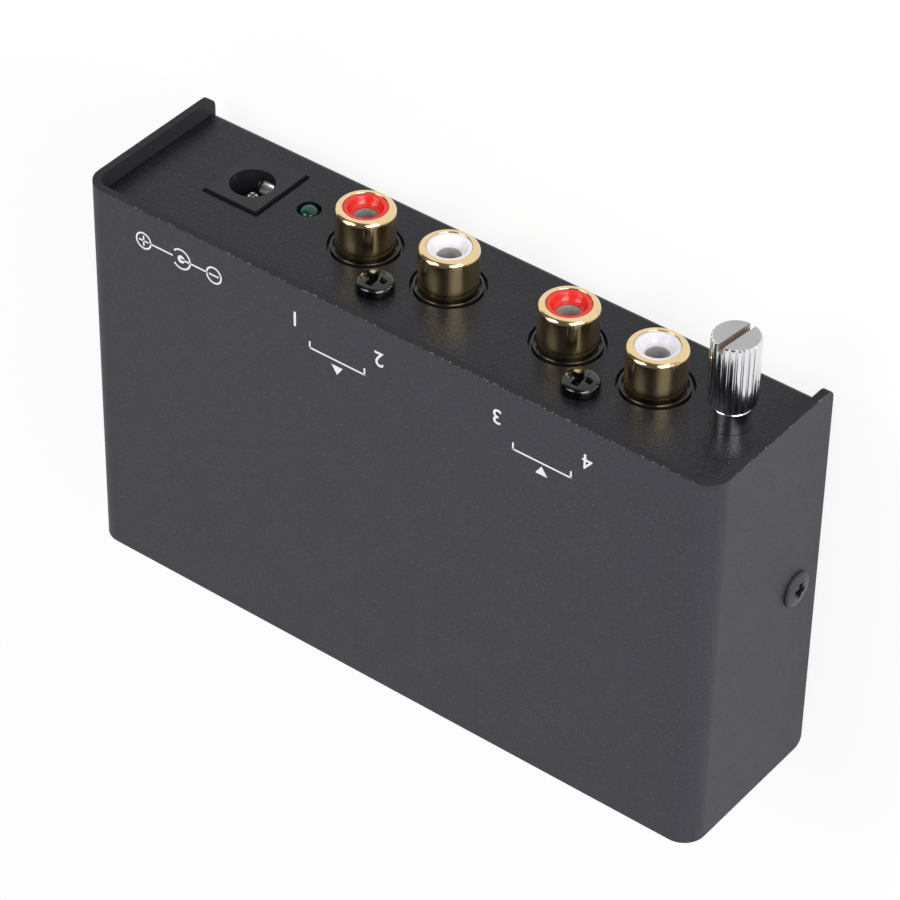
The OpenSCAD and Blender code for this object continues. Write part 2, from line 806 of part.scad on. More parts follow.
cover();
chassis();
cover_screws();
rubber_feet();
board_standoffs();
board_screws();
circuit_board();
dc_jack_housing();
dc_jack_pin();
dc_jack_spring();
dc_jack_lugs();
power_lamp();
lamp_leads();
input_jack_block();
output_jack_block();
input_jack_shells();
output_jack_shells();
red_insulators();
white_insulators();
jack_centre_contacts();
jack_block_screws();
ground_standoff();
clamp_washer();
thumb_screw();
amplifier_chips();
chip_legs();
filter_capacitors();
coupling_capacitors();
film_capacitors();
ceramic_capacitors();
capacitor_leads();
resistors();
resistor_leads();
voltage_regulator();
regulator_legs();
polarity_diode();
diode_leads();
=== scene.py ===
"""Looks of the phono preamp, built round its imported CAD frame.

Sizes are in millimetres in the box frame: the origin is the middle of the underside of the box, +X is
the end with the power inlet, -Y is out of the connector panel and +Z is out of the label face. Meshes
are written in metres in the row's frame, by `row_point` and `row_matrix`.
"""

import logging
import math
from dataclasses import dataclass, field
from enum import Enum
from typing import Any, Iterable, Sequence

import bmesh
import bpy
from mathutils import Matrix, Vector


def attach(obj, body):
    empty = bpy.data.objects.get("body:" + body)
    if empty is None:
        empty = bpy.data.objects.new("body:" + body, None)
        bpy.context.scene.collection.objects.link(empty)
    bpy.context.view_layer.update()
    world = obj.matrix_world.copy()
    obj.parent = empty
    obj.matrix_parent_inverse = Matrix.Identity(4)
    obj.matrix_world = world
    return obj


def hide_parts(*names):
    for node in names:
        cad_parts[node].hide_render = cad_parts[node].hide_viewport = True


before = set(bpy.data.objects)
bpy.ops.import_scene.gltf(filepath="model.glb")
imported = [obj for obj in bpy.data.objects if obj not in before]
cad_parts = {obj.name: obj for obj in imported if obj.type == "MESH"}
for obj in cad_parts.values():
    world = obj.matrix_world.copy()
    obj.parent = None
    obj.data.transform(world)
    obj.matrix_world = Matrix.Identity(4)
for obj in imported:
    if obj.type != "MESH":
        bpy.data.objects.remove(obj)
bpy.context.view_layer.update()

LOG = logging.getLogger("phono_preamp")
MM = 0.001
# The box in the row's frame: how far back its middle lies, how high the feet lift it, and its panel.
BOX_Y = 5.75
FOOT_H = 2.5
PANEL_Y = -28.65
# Air left between pieces that touch in real life, so that no two faces lie in one plane.
FIT_GAP = 0.02
# UV map of the turned pieces, and the size that one of its units stands for.
TURNED_UV = "turned"
UV_UNIT_MM = 10.0
# Angles at which an edge stays sharp on a turned piece and on a block, and from which it is rounded.
SHARP_DEG = 38.0
BLOCK_SHARP_DEG = 50.0
ROUND_FROM_DEG = 32.0

Point = tuple[float, float]
# What feeds a node's input: a plain value, a socket, or a node whose first output is meant.
Feed = Any


class Body(Enum):
    """Bodies of the frame that a piece can ride on."""

    ENCLOSURE = "enclosure"
    WASHER = "washer"
    THUMB_SCREW = "thumb_screw"


class Flow(Enum):
    """Ways of a signal arrow, as the places of its tip and its base under the bracket, in mm."""

    IN = (2.3, 0.9)
    OUT = (0.55, 1.95)


# ---------------------------------------------------------------- places and plain mesh tools


def row_point(x: float, y: float, z: float) -> Vector:
    """Turns a point of the box frame, in mm, into the row's frame, in metres."""
    return Vector((x, y + BOX_Y, z + FOOT_H)) * MM


def row_matrix(x: float, y: float, z: float, turn: Matrix = Matrix.Identity(4)) -> Matrix:
    """Gives the matrix that carries a mesh drawn in mm round its own origin to its place.

    Args:
        x: Place along the width, in the box frame.
        y: Place along the depth.
        z: Height above the underside of the box.
        turn: Rotation of the mesh about its own origin.

    Returns:
        The matrix from millimetres of the piece to metres of the row.
    """
    return Matrix.Translation(row_point(x, y, z)) @ Matrix.Scale(MM, 4) @ turn


def out_of_panel(roll: float = 0.0) -> Matrix:
    """Turns +Z of a piece out of the connector panel, after a roll about its own axis, in degrees."""
    return Matrix.Rotation(math.radians(90), 4, "X") @ Matrix.Rotation(math.radians(roll), 4, "Z")


def out_of_end(side: int, roll: float = 0.0) -> Matrix:
    """Turns +Z of a piece out of an end wall, on the side -1 or 1, after a roll in degrees."""
    return Matrix.Rotation(math.radians(90 * side), 4, "Y") @ Matrix.Rotation(math.radians(roll), 4, "Z")


def mesh_object(name: str, mesh: bpy.types.Mesh) -> bpy.types.Object:
    """Links a mesh to the scene as an object at the origin.

    Args:
        name: Name of the object.
        mesh: Its mesh, with its place in it.

    Returns:
        The new object.
    """
    piece = bpy.data.objects.new(name, mesh)
    bpy.context.scene.collection.objects.link(piece)
    return piece


def finished_mesh(name: str, work: bmesh.types.BMesh) -> bpy.types.Mesh:
    """Writes an edit mesh into a new mesh and frees it.

    Args:
        name: Name of the mesh.
        work: The edit mesh.

    Returns:
        The new mesh.
    """
    mesh = bpy.data.meshes.new(name)
    work.to_mesh(mesh)
    work.free()
    return mesh


def drop(piece: bpy.types.Object) -> None:
    """Removes a helper object and its mesh.

    Args:
        piece: The object that is no longer needed.
    """
    mesh = piece.data
    bpy.data.objects.remove(piece)
    if isinstance(mesh, bpy.types.Mesh) and mesh.users == 0:
        bpy.data.meshes.remove(mesh)


def baked(piece: bpy.types.Object, name: str) -> bpy.types.Object:
    """Turns an object with its modifiers into a plain mesh object and removes the first one.

    Args:
        piece: The object with live modifiers.
        name: Name of the result.

    Returns:
        The plain mesh object.
    """
    graph = bpy.context.evaluated_depsgraph_get()
    evaluated = piece.evaluated_get(graph)
    mesh = bpy.data.meshes.new_from_object(evaluated, preserve_all_data_layers=True, depsgraph=graph)
    mesh.name = name
    drop(piece)
    return mesh_object(name, mesh)


def soften_shading(mesh: bpy.types.Mesh, angle: float = SHARP_DEG) -> None:
    """Shades a mesh smooth, with its sharp edges kept.

    Args:
        mesh: The mesh to shade.
        angle: Turn between two faces from which their edge stays sharp, in degrees.
    """
    limit = math.radians(angle)
    work = bmesh.new()
    work.from_mesh(mesh)
    for face in work.faces:
        face.smooth = True
    for edge in work.edges:
        edge.smooth = len(edge.link_faces) == 2 and edge.calc_face_angle(0.0) < limit
    work.to_mesh(mesh)
    work.free()


def lathe(name: str, profile: Sequence[Point], steps: int = 96, closed: bool = False) -> bpy.types.Object:
    """Turns a profile about +Z, with a UV map whose u runs along the profile and whose v runs round it.

    Args:
        name: Name of the mesh.
        profile: Points as (radius, height), in mm, with the material on the left of the way they run.
        steps: Number of steps round the axis.
        closed: True where the last point joins the first, as on a ring.

    Returns:
        The turned blank, with its axis on +Z through the origin.
    """
    on_axis, closing_mm = 1e-6, 0.4
    work = bmesh.new()
    layer = work.loops.layers.uv.new(TURNED_UV)
    lengths = [0.0]
    for (r0, z0), (r1, z1) in zip(profile, profile[1:]):
        lengths.append(lengths[-1] + math.hypot(r1 - r0, z1 - z0))
    rings: list[list[bmesh.types.BMVert]] = []
    for radius, height in profile:
        if radius < on_axis:
            rings.append([work.verts.new((0.0, 0.0, height))] * steps)
        else:
            rings.append([
                work.verts.new((radius * math.cos(a), radius * math.sin(a), height))
                for a in (2 * math.pi * i / steps for i in range(steps))
            ])
    pairs = list(zip(range(len(profile) - 1), range(1, len(profile))))
    if closed:
        pairs.append((len(profile) - 1, 0))
    for low, high in pairs:
        v0, v1 = lengths[low], lengths[high] if high else lengths[-1] + closing_mm
        for i in range(steps):
            j = (i + 1) % steps
            corners = [
                (rings[low][i], i, v0), (rings[low][j], i + 1, v0),
                (rings[high][j], i + 1, v1), (rings[high][i], i, v1),
            ]
            kept = [c for n, c in enumerate(corners) if c[0] not in [d[0] for d in corners[:n]]]
            if len(kept) < 3:
                continue
            face = work.faces.new([c[0] for c in kept])
            for loop, corner in zip(face.loops, kept):
                loop[layer].uv = (corner[2] / UV_UNIT_MM, corner[1] / steps)
    bmesh.ops.recalc_face_normals(work, faces=work.faces)
    mesh = finished_mesh(name, work)
    soften_shading(mesh)
    return mesh_object(name, mesh)


def arc(cx: float, cy: float, radius: float, start: float, end: float, steps: int = 8) -> list[Point]:
    """Gives the points of an arc in the profile plane.

    Args:
        cx: Radius at which its centre lies.
        cy: Height of its centre.
        radius: Its own radius.
        start: Angle of its first point, in degrees.
        end: Angle of its last point.
        steps: Number of steps between them.

    Returns:
        The points, as (radius, height).
    """
    return [
        (cx + radius * math.cos(math.radians(a)), cy + radius * math.sin(math.radians(a)))
        for a in (start + (end - start) * i / steps for i in range(steps + 1))
    ]


def block(name: str, low: Sequence[float], high: Sequence[float], bevel: float) -> bpy.types.Object:
    """Makes a block with bevelled edges.

    Args:
        name: Name of the block.
        low: Its lowest corner, in mm.
        high: Its highest corner.
        bevel: Width of the bevel.

    Returns:
        The block, in mm.
    """
    work = bmesh.new()
    bmesh.ops.create_cube(work, size=1.0)
    for vert in work.verts:
        vert.co = Vector([low[i] + (vert.co[i] + 0.5) * (high[i] - low[i]) for i in range(3)])
    bmesh.ops.bevel(work, geom=list(work.edges), offset=bevel, segments=2, affect="EDGES", profile=0.6)
    mesh = finished_mesh(name, work)
    soften_shading(mesh, BLOCK_SHARP_DEG)
    return mesh_object(name, mesh)


def joined(name: str, pieces: Sequence[bpy.types.Object]) -> bpy.types.Object:
    """Joins plain mesh objects into one and keeps their materials by slot.

    Args:
        name: Name of the result.
        pieces: The objects to join. They are removed.

    Returns:
        The joined object.
    """
    work = bmesh.new()
    slots: list[bpy.types.Material] = []
    for piece in pieces:
        start = len(work.faces)
        work.from_mesh(piece.data)
        work.faces.ensure_lookup_table()
        own = [slot.material for slot in piece.material_slots if slot.material]
        for material in own:
            if material not in slots:
                slots.append(material)
        if own:
            for face in work.faces[start:]:
                face.material_index = slots.index(own[min(face.material_index, len(own) - 1)])
    mesh = finished_mesh(name, work)
    for material in slots:
        mesh.materials.append(material)
    for piece in pieces:
        drop(piece)
    return mesh_object(name, mesh)


def cut(piece: bpy.types.Object, tools: Sequence[bpy.types.Object]) -> bpy.types.Object:
    """Cuts tools out of a piece, whose cut faces take each tool's material.

    Args:
        piece: The blank. It is removed.
        tools: The shapes to cut out. They are removed.

    Returns:
        The plain mesh that is left.
    """
    name = piece.data.name
    for tool in tools:
        modifier = piece.modifiers.new("cut", "BOOLEAN")
        modifier.operation = "DIFFERENCE"
        modifier.solver = "EXACT"
        modifier.material_mode = "TRANSFER"
        modifier.object = tool
    result = baked(piece, name)
    for tool in tools:
        drop(tool)
    soften_shading(result.data)
    return result


def bevelled(piece: bpy.types.Object, width: float, segments: int = 2) -> bpy.types.Object:
    """Rounds the sharp edges of a piece.

    Args:
        piece: The piece. It is removed.
        width: Width of the rounding, in the unit that the piece is drawn in.
        segments: Faces across the rounding.

    Returns:
        The rounded piece.
    """
    modifier = piece.modifiers.new("edge", "BEVEL")
    modifier.width = width
    modifier.segments = segments
    modifier.limit_method = "ANGLE"
    modifier.angle_limit = math.radians(ROUND_FROM_DEG)
    modifier.harden_normals = False
    modifier.use_clamp_overlap = True
    result = baked(piece, piece.data.name)
    soften_shading(result.data)
    return result


def evened(piece: bpy.types.Object) -> bpy.types.Object:
    """Weights the normals by face area, so that a large flat face shades flat up to its rounded edge.

    Args:
        piece: The piece. It is removed.

    Returns:
        The same shape with the weighted normals.
    """
    modifier = piece.modifiers.new("normals", "WEIGHTED_NORMAL")
    modifier.keep_sharp = True
    modifier.weight = 80
    return baked(piece, piece.data.name)


def softened(node: str, width_mm: float, segments: int = 2) -> bpy.types.Object:
    """Copies a CAD node, merges its triangles into faces and rounds its sharp edges.

    Args:
        node: Name of the CAD node.
        width_mm: Width of the rounding, or 0 for a piece that is curved all over and only shaded smooth.
        segments: Faces across the rounding.

    Returns:
        A new object in the row's frame. The CAD node is left as it is.
    """
    same_point_m, flat_deg = 2e-6, 0.8
    work = bmesh.new()
    work.from_mesh(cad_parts[node].data)
    bmesh.ops.remove_doubles(work, verts=work.verts, dist=same_point_m)
    if width_mm:
        bmesh.ops.dissolve_limit(work, angle_limit=math.radians(flat_deg), verts=work.verts, edges=work.edges)
    mesh = finished_mesh(node + "_dressed", work)
    piece = mesh_object(node + "_dressed", mesh)
    if not width_mm:
        soften_shading(mesh)
        return piece
    return evened(bevelled(piece, width_mm * MM, segments))


# ---------------------------------------------------------------- node helpers


# Kinds of node that come back in many trees.
MATH = "ShaderNodeMath"
MIX = "ShaderNodeMix"
RANGE = "ShaderNodeMapRange"
AXES = "ShaderNodeSeparateXYZ"
NOISE = "ShaderNodeTexNoise"


def linear(code: str) -> tuple[float, float, float, float]:
    """Turns an sRGB hex value into a linear colour.

    Args:
        code: The value, such as #3c3c40.

    Returns:
        Red, green, blue and a full alpha.
    """
    parts = [int(code[i:i + 2], 16) / 255 for i in (1, 3, 5)]
    curve = [p / 12.92 if p <= 0.04045 else ((p + 0.055) / 1.055) ** 2.4 for p in parts]
    return (curve[0], curve[1], curve[2], 1.0)


def add_node(tree: bpy.types.NodeTree, kind: str, feeds: dict[Any, Feed] | None = None,
             **settings: Any) -> bpy.types.Node:
    """Adds a node to a tree with its settings, values and links.

    Args:
        tree: The material, world or geometry tree.
        kind: The node's type name.
        feeds: What feeds each input, by the input's name or number.
        settings: Properties of the node itself.

    Returns:
        The new node.
    """
    node = tree.nodes.new(kind)
    for key, value in settings.items():
        setattr(node, key, value)
    for key, value in (feeds or {}).items():
        if isinstance(value, bpy.types.Node):
            value = value.outputs[0]
        if isinstance(value, bpy.types.NodeSocket):
            tree.links.new(value, node.inputs[key])
        else:
            node.inputs[key].default_value = value
    return node


def layered(tree: bpy.types.NodeTree, base: bpy.types.NodeSocket,
            layers: Iterable[tuple[Feed, str]]) -> bpy.types.NodeSocket:
    """Lays flat colours over a base, each where its own mask is 1.

    Args:
        tree: The material's tree.
        base: Colour underneath.
        layers: Mask and sRGB hex value of each layer, from the lowest up.

    Returns:
        The colour that is left to see.
    """
    for mask, code in layers:
        base = add_node(tree, MIX, {0: mask, 6: base, 7: linear(code)}, data_type="RGBA").outputs[2]
    return base


def per_metre(size_mm: float) -> float:
    """Gives the texture scale whose features are about size_mm across, on coordinates in metres."""
    return 1.0 / (size_mm * MM)


# ---------------------------------------------------------------- finishes


@dataclass(frozen=True)
class Finish:
    """A surface as it is in real life: its base, how it was made, and the size of its grain."""

    name: str
    colour: str
    metallic: float = 0.0
    roughness: float = 0.5
    rough_play: float = 0.06
    grain_mm: float = 0.3
    rise_mm: float = 0.0
    patch_mm: float = 5.0
    patch_play: float = 0.08
    patch_from: float = 0.3
    patch_to: float = 0.7
    ior: float | None = None
    coat: float = 0.0
    coat_roughness: float = 0.08
    sheen_level: float = 0.5

    def material(self) -> bpy.types.Material:
        """Builds the material once and gives the same one to every piece that asks for it.

        Returns:
            The material.
        """
        found = bpy.data.materials.get(self.name)
        if found:
            return found
        made = bpy.data.materials.new(self.name)
        made.use_nodes = True
        tree = made.node_tree
        tree.nodes.clear()
        output = add_node(tree, "ShaderNodeOutputMaterial")
        shader = add_node(tree, "ShaderNodeBsdfPrincipled", {"Metallic": self.metallic})
        tree.links.new(shader.outputs[0], output.inputs[0])
        if self.ior is not None:
            shader.inputs["IOR"].default_value = self.ior
        if self.sheen_level != 0.5:
            shader.inputs["Specular IOR Level"].default_value = self.sheen_level
        if self.coat:
            shader.inputs["Coat Weight"].default_value = self.coat
            shader.inputs["Coat Roughness"].default_value = self.coat_roughness
        place = add_node(tree, "ShaderNodeTexCoord").outputs["Object"]
        tree.links.new(self.tint(tree, place), shader.inputs["Base Color"])
        tree.links.new(self.gloss(tree, place), shader.inputs["Roughness"])
        if self.rise_mm:
            height = self.relief(tree, place)
            bump = add_node(tree, "ShaderNodeBump", {"Height": height, "Distance": self.rise_mm * MM})
            tree.links.new(bump.outputs[0], shader.inputs["Normal"])
        self.refine(tree, shader)
        return made

    def patches(self, tree: bpy.types.NodeTree, place: bpy.types.NodeSocket,
                size_mm: float) -> bpy.types.NodeSocket:
        """Gives a soft random pattern.

        Args:
            tree: The material's tree.
            place: Coordinates on the piece, in metres.
            size_mm: Rough size of one patch.

        Returns:
            The pattern, round 0.5.
        """
        feeds = {"Vector": place, "Scale": per_metre(size_mm), "Detail": 2.0, "Roughness": 0.55}
        return add_node(tree, NOISE, feeds).outputs["Fac"]

    def tint(self, tree: bpy.types.NodeTree, place: bpy.types.NodeSocket) -> bpy.types.NodeSocket:
        """Gives the base colour, a little lighter and darker in patches.

        Args:
            tree: The material's tree.
            place: Coordinates on the piece, in metres.

        Returns:
            The colour.
        """
        base = linear(self.colour)
        ramp = add_node(tree, "ShaderNodeValToRGB", {"Fac": self.patches(tree, place, self.patch_mm)})
        stops = ((self.patch_from, -self.patch_play), (self.patch_to, self.patch_play))
        for stop, (at, gain) in zip(ramp.color_ramp.elements, stops):
            stop.position = at
            stop.color = [min(1.0, c * (1 + gain)) for c in base[:3]] + [1.0]
        return ramp.outputs[0]

    def gloss(self, tree: bpy.types.NodeTree, place: bpy.types.NodeSocket) -> bpy.types.NodeSocket:
        """Gives the roughness, which plays round its middle value.

        Args:
            tree: The material's tree.
            place: Coordinates on the piece, in metres.

        Returns:
            The roughness.
        """
        mirror, finer = 0.02, 0.6
        low, high = max(mirror, self.roughness - self.rough_play), self.roughness + self.rough_play
        return add_node(tree, RANGE, {0: self.patches(tree, place, self.patch_mm * finer),
                                      1: self.patch_from, 2: self.patch_to, 3: low, 4: high}).outputs[0]

    def relief(self, tree: bpy.types.NodeTree, place: bpy.types.NodeSocket) -> bpy.types.NodeSocket:
        """Gives the height of the surface grain."""
        return self.patches(tree, place, self.grain_mm)

    def refine(self, tree: bpy.types.NodeTree, shader: bpy.types.Node) -> None:
        """Adds what only this finish has. A plain finish has nothing more."""


@dataclass(frozen=True)
class PowderCoat(Finish):
    """Polyester powder baked on steel sheet: a fine dry texture whose tips catch the light."""

    speck_mm: float = 0.3
    spark: str = "#47474d"

    def tint(self, tree: bpy.types.NodeTree, place: bpy.types.NodeSocket) -> bpy.types.NodeSocket:
        """Adds the sparkle of the texture's tips.

        Args:
            tree: The material's tree.
            place: Coordinates on the piece, in metres.

        Returns:
            The colour.
        """
        base = Finish.tint(self, tree, place)
        cells = add_node(tree, NOISE, {"Vector": place, "Scale": per_metre(self.speck_mm), "Detail": 1.0})
        tips = add_node(tree, RANGE, {0: cells.outputs["Fac"], 1: 0.55, 2: 0.75, 3: 0.0, 4: 1.0})
        return layered(tree, base, [(tips, self.spark)])


@dataclass(frozen=True)
class PowderCoatWithPaintedLight(PowderCoat):
    """The cover's coat: painted shade inside and on the front edge, a painted highlight in corner specks."""

    # Faces within these bounds are the cover's inside; their colour thin is painted shade.
    inside_x: float = 50.95
    inside_z: float = 27.9
    thin: str = "#29292e"
    # Faces in front of edge_from, the cover's front edge, take a darker colour: painted shade.
    edge_from: float = -25.37
    edge_to: float = -25.2
    edge_shade: str = "#232327"
    # On the front corner, specks of the lighter colour bare are a painted highlight.
    corner_x: float = 51.86
    corner_z: float = 28.86
    glint_mm: float = 0.32
    glint_most: float = 0.55
    bare: str = "#85858b"

    def tint(self, tree: bpy.types.NodeTree, place: bpy.types.NodeSocket) -> bpy.types.NodeSocket:
        """Lays the painted shade inside and on the front edge and the painted corner highlight over the coat.

        Args:
            tree: The material's tree.
            place: Coordinates on the piece, in metres.

        Returns:
            The colour.
        """
        axes = add_node(tree, AXES, {0: place}).outputs
        across = add_node(tree, MATH, {0: axes[0]}, operation="ABSOLUTE")
        between = add_node(tree, MATH, {0: across, 1: self.inside_x * MM}, operation="LESS_THAN")
        under = add_node(tree, MATH, {0: axes[2], 1: self.inside_z * MM}, operation="LESS_THAN")
        inside = add_node(tree, MATH, {0: between, 1: under}, operation="MULTIPLY")
        edge = add_node(tree, RANGE, {0: axes[1], 1: self.edge_from * MM, 2: self.edge_to * MM,
                                      3: 1.0, 4: 0.0})
        front = add_node(tree, MATH, {0: axes[1], 1: self.edge_to * MM}, operation="LESS_THAN")
        over = add_node(tree, MATH, {0: axes[2], 1: self.corner_z * MM}, operation="GREATER_THAN")
        beyond = add_node(tree, MATH, {0: across, 1: self.corner_x * MM}, operation="GREATER_THAN")
        outer = add_node(tree, MATH, {0: over, 1: beyond}, operation="MAXIMUM")
        corner = add_node(tree, MATH, {0: front, 1: outer}, operation="MULTIPLY")
        glint_noise = add_node(tree, RANGE, {0: self.patches(tree, place, self.glint_mm),
                                      1: 0.54, 2: 0.68, 3: 0.0, 4: self.glint_most})
        specks = add_node(tree, MATH, {0: corner, 1: glint_noise}, operation="MULTIPLY")
        # thin and the front edge's colour are painted shade, the corner specks a painted highlight.
        return layered(tree, PowderCoat.tint(self, tree, place),
                       [(inside, self.thin), (edge, self.edge_shade), (specks, self.bare)])


@dataclass(frozen=True)
class TurnedMetal(Finish):
    """Metal turned on a lathe and plated: fine rings round the axis draw its highlights lengthways."""

    anisotropy: float = 0.6

    def refine(self, tree: bpy.types.NodeTree, shader: bpy.types.Node) -> None:
        """Stretches the highlights across the turning marks.

        Args:
            tree: The material's tree.
            shader: Its surface shader.
        """
        shader.inputs["Anisotropic"].default_value = self.anisotropy
        tangent = add_node(tree, "ShaderNodeTangent", direction_type="UV_MAP", uv_map=TURNED_UV)
        tree.links.new(tangent.outputs[0], shader.inputs["Tangent"])


@dataclass(frozen=True)
class TintedLens(Finish):
    """Cast tinted epoxy, which lets a little light in."""

    clear: float = 0.12

    def refine(self, tree: bpy.types.NodeTree, shader: bpy.types.Node) -> None:
        """Lets light into the lens."""
        shader.inputs["Transmission Weight"].default_value = self.clear


@dataclass(frozen=True)
class SolderMask(Finish):
    """Green solder mask over etched copper: lines of copper show as slightly lighter ridges."""

    over_copper: str = "#2f7a4c"
    run_mm: float = 0.3
    run_length_mm: float = 17.78
    grid_mm: float = 2.54
    strength: float = 0.8

    def tint(self, tree: bpy.types.NodeTree, place: bpy.types.NodeSocket) -> bpy.types.NodeSocket:
        """Lays the copper runs of the leads' grid under the mask."""
        return layered(tree, Finish.tint(self, tree, place), [(self.relief(tree, place), self.over_copper)])

    def relief(self, tree: bpy.types.NodeTree, place: bpy.types.NodeSocket) -> bpy.types.NodeSocket:
        """Raises the mask over runs of copper, broken into lengths, on the grid of the leads.

        Args:
            tree: The material's tree.
            place: Coordinates on the piece, in metres.

        Returns:
            The height, which is 0 between the runs.
        """
        black, white = (0, 0, 0, 1), (1, 1, 1, 1)
        bricks = add_node(tree, "ShaderNodeTexBrick", {
            "Vector": place, "Scale": 1.0, "Mortar Size": self.run_mm * MM, "Mortar Smooth": 0.1,
            "Brick Width": self.run_length_mm * MM, "Row Height": self.grid_mm * MM,
            "Color1": black, "Color2": black, "Mortar": white,
        })
        return add_node(tree, MATH, {0: bricks, 1: self.strength}, operation="MULTIPLY").outputs[0]


@dataclass(frozen=True)
class BandedLacquer(Finish):
    """Lacquered body with painted bands across it, at set places along Y."""

    middle_mm: float = 14.0
    bands: tuple[tuple[float, str], ...] = ()
    half_mm: float = 0.32

    def tint(self, tree: bpy.types.NodeTree, place: bpy.types.NodeSocket) -> bpy.types.NodeSocket:
        """Paints each band over the lacquer.

        Args:
            tree: The material's tree.
            place: Coordinates on the piece, in metres.

        Returns:
            The colour.
        """
        depth = add_node(tree, AXES, {0: place}).outputs[1]
        layers = []
        for at, code in self.bands:
            centre = (self.middle_mm + BOX_Y + at) * MM
            near = add_node(tree, MATH, {0: depth, 1: centre, 2: self.half_mm * MM}, operation="COMPARE")
            layers.append((near, code))
        return layered(tree, Finish.tint(self, tree, place), layers)


@dataclass(frozen=True)
class CanSleeve(Finish):
    """Printed shrink sleeve on an aluminium can: a pale stripe runs down one side, the top is bare."""

    stripe: str = "#b9c0cc"
    stripe_from: float = 0.86
    aluminium: str = "#c4c6c9"
    top_from: float = 0.9

    def tint(self, tree: bpy.types.NodeTree, place: bpy.types.NodeSocket) -> bpy.types.NodeSocket:
        """Prints the stripe on the side that faces +X, and bares the aluminium on top.

        Args:
            tree: The material's tree.
            place: Coordinates on the piece, in metres.

        Returns:
            The colour.
        """
        normal = add_node(tree, "ShaderNodeNewGeometry").outputs["Normal"]
        facing = add_node(tree, AXES, {0: normal}).outputs
        side = add_node(tree, MATH, {0: facing[0], 1: self.stripe_from}, operation="GREATER_THAN")
        top = add_node(tree, MATH, {0: facing[2], 1: self.top_from}, operation="GREATER_THAN")
        return layered(tree, Finish.tint(self, tree, place), [(side, self.stripe), (top, self.aluminium)])


# Polyester powder coat, fine texture: matt, near-black grey that catches light on its grain.
COVER_COAT = PowderCoatWithPaintedLight("powder_coat_cover", "#3b3b41", roughness=0.5, rough_play=0.02, grain_mm=0.3,
                            rise_mm=0.022, patch_mm=8.0, patch_play=0.025, sheen_level=0.14)
# The chassis's base colour is much darker than the cover's: painted shade of the connector panel.
CHASSIS_COAT = PowderCoat("powder_coat_chassis", "#191920", roughness=0.32, rough_play=0.02, grain_mm=0.3,
                          rise_mm=0.045, patch_mm=8.0, patch_play=0.025, sheen_level=0.23,
                          spark="#2e2e37")
# Zinc-plated screws passivated black and waxed: deep black with small hard highlights.
BLACK_SCREW = Finish("black_passivated_steel", "#050506", roughness=0.14, rough_play=0.04, grain_mm=0.4,
                     rise_mm=0.012, ior=1.55)
# The cover screws were painted with the cover, so they share its grey.
PAINTED_SCREW = Finish("painted_screw_head", "#37373d", roughness=0.46, sheen_level=0.3, grain_mm=0.3,
                       rise_mm=0.016)
# The driver's recess of such a screw is painted near-black, as painted shade, and dull.
RECESS_SHADE = Finish("oxide_recess", "#09090a", roughness=0.6, sheen_level=0.2, grain_mm=0.2, rise_mm=0.01)
# Rubber moulded in a blasted tool: dull black with a faint bloom.
RUBBER = Finish("moulded_rubber", "#161617", roughness=0.82, grain_mm=0.25, rise_mm=0.02, ior=1.52)
# Tin-plated brass and copper wire: soft, slightly grey white metal.
TIN = Finish("tin_plate", "#cfcfd0", metallic=1.0, roughness=0.34, grain_mm=0.2, rise_mm=0.004)
# Bright nickel over turned brass: near-mirror white metal, faintly warm.
NICKEL = TurnedMetal("bright_nickel", "#bebab3", metallic=1.0, roughness=0.12, rough_play=0.03,
                     grain_mm=0.15, rise_mm=0.001, anisotropy=0.2)
# The same plating on stamped and drawn pieces, and on the end face that the parting tool left.
NICKEL_STRIP = Finish("nickel_strip", "#cac8c5", metallic=1.0, roughness=0.2, grain_mm=0.15,
                      rise_mm=0.002)
FACED_NICKEL = Finish("faced_nickel", "#b5b4b4", metallic=1.0, roughness=0.24, grain_mm=0.15,
                      rise_mm=0.004)
# Flash gold over nickel on a turned shell: champagne gold with lengthways streaks of light.
GOLD = TurnedMetal("flash_gold_plate", "#ead0a0", metallic=1.0, roughness=0.16, rough_play=0.03,
                   grain_mm=0.2, rise_mm=0.001, patch_play=0.04, anisotropy=0.85)
# Inside the slot the metal is painted duller and browner than the plating: painted shade of the narrow slot.
SLOT_SHADE = Finish("sawn_brass", "#b1a59b", metallic=0.8, roughness=0.45, grain_mm=0.15, rise_mm=0.01)
# Tinned spring contact, softer in gloss than wire: its tin is painted paler, as painted light inside its
# bore.
CONTACT_TIN = Finish("tinned_contact", "#ece8e4", metallic=0.7, roughness=0.45, grain_mm=0.3,
                     rise_mm=0.004)
# The jack blocks' collars were moulded against a polished ring: glossy black.
JACK_NYLON = Finish("polished_nylon", "#161618", roughness=0.24, grain_mm=0.3, rise_mm=0.004)
# The inlet's housing has a satin skin that reads greyer than the jack blocks.
INLET_NYLON = Finish("satin_nylon", "#1f1f23", roughness=0.3, sheen_level=0.24, grain_mm=0.22,
                     rise_mm=0.004)
# Polypropylene moulded against polished steel: strong colour, glossy skin.
RED_PLASTIC = Finish("polypropylene_red", "#d2261a", roughness=0.24, rough_play=0.03, patch_play=0.03,
                     grain_mm=0.6, rise_mm=0.003)
WHITE_PLASTIC = Finish("polypropylene_white", "#dddbe0", roughness=0.28, rough_play=0.03, patch_play=0.01,
                       grain_mm=0.6, rise_mm=0.003)
# Tinted epoxy cast round the lamp die: dark sea green when it is off.
LENS = TintedLens("tinted_epoxy", "#063d2e", roughness=0.07, rough_play=0.02)
# Silk-screened epoxy ink: flat white, slightly uneven.
INK = Finish("screen_ink", "#e9e9ea", roughness=0.6, patch_play=0.04, patch_mm=0.8, grain_mm=0.15,
             rise_mm=0.004)
# Laminate under green solder mask, cured glossy.
BOARD = SolderMask("solder_mask", "#0f4a2a", roughness=0.28, grain_mm=0.4, rise_mm=0.02, coat=0.3)
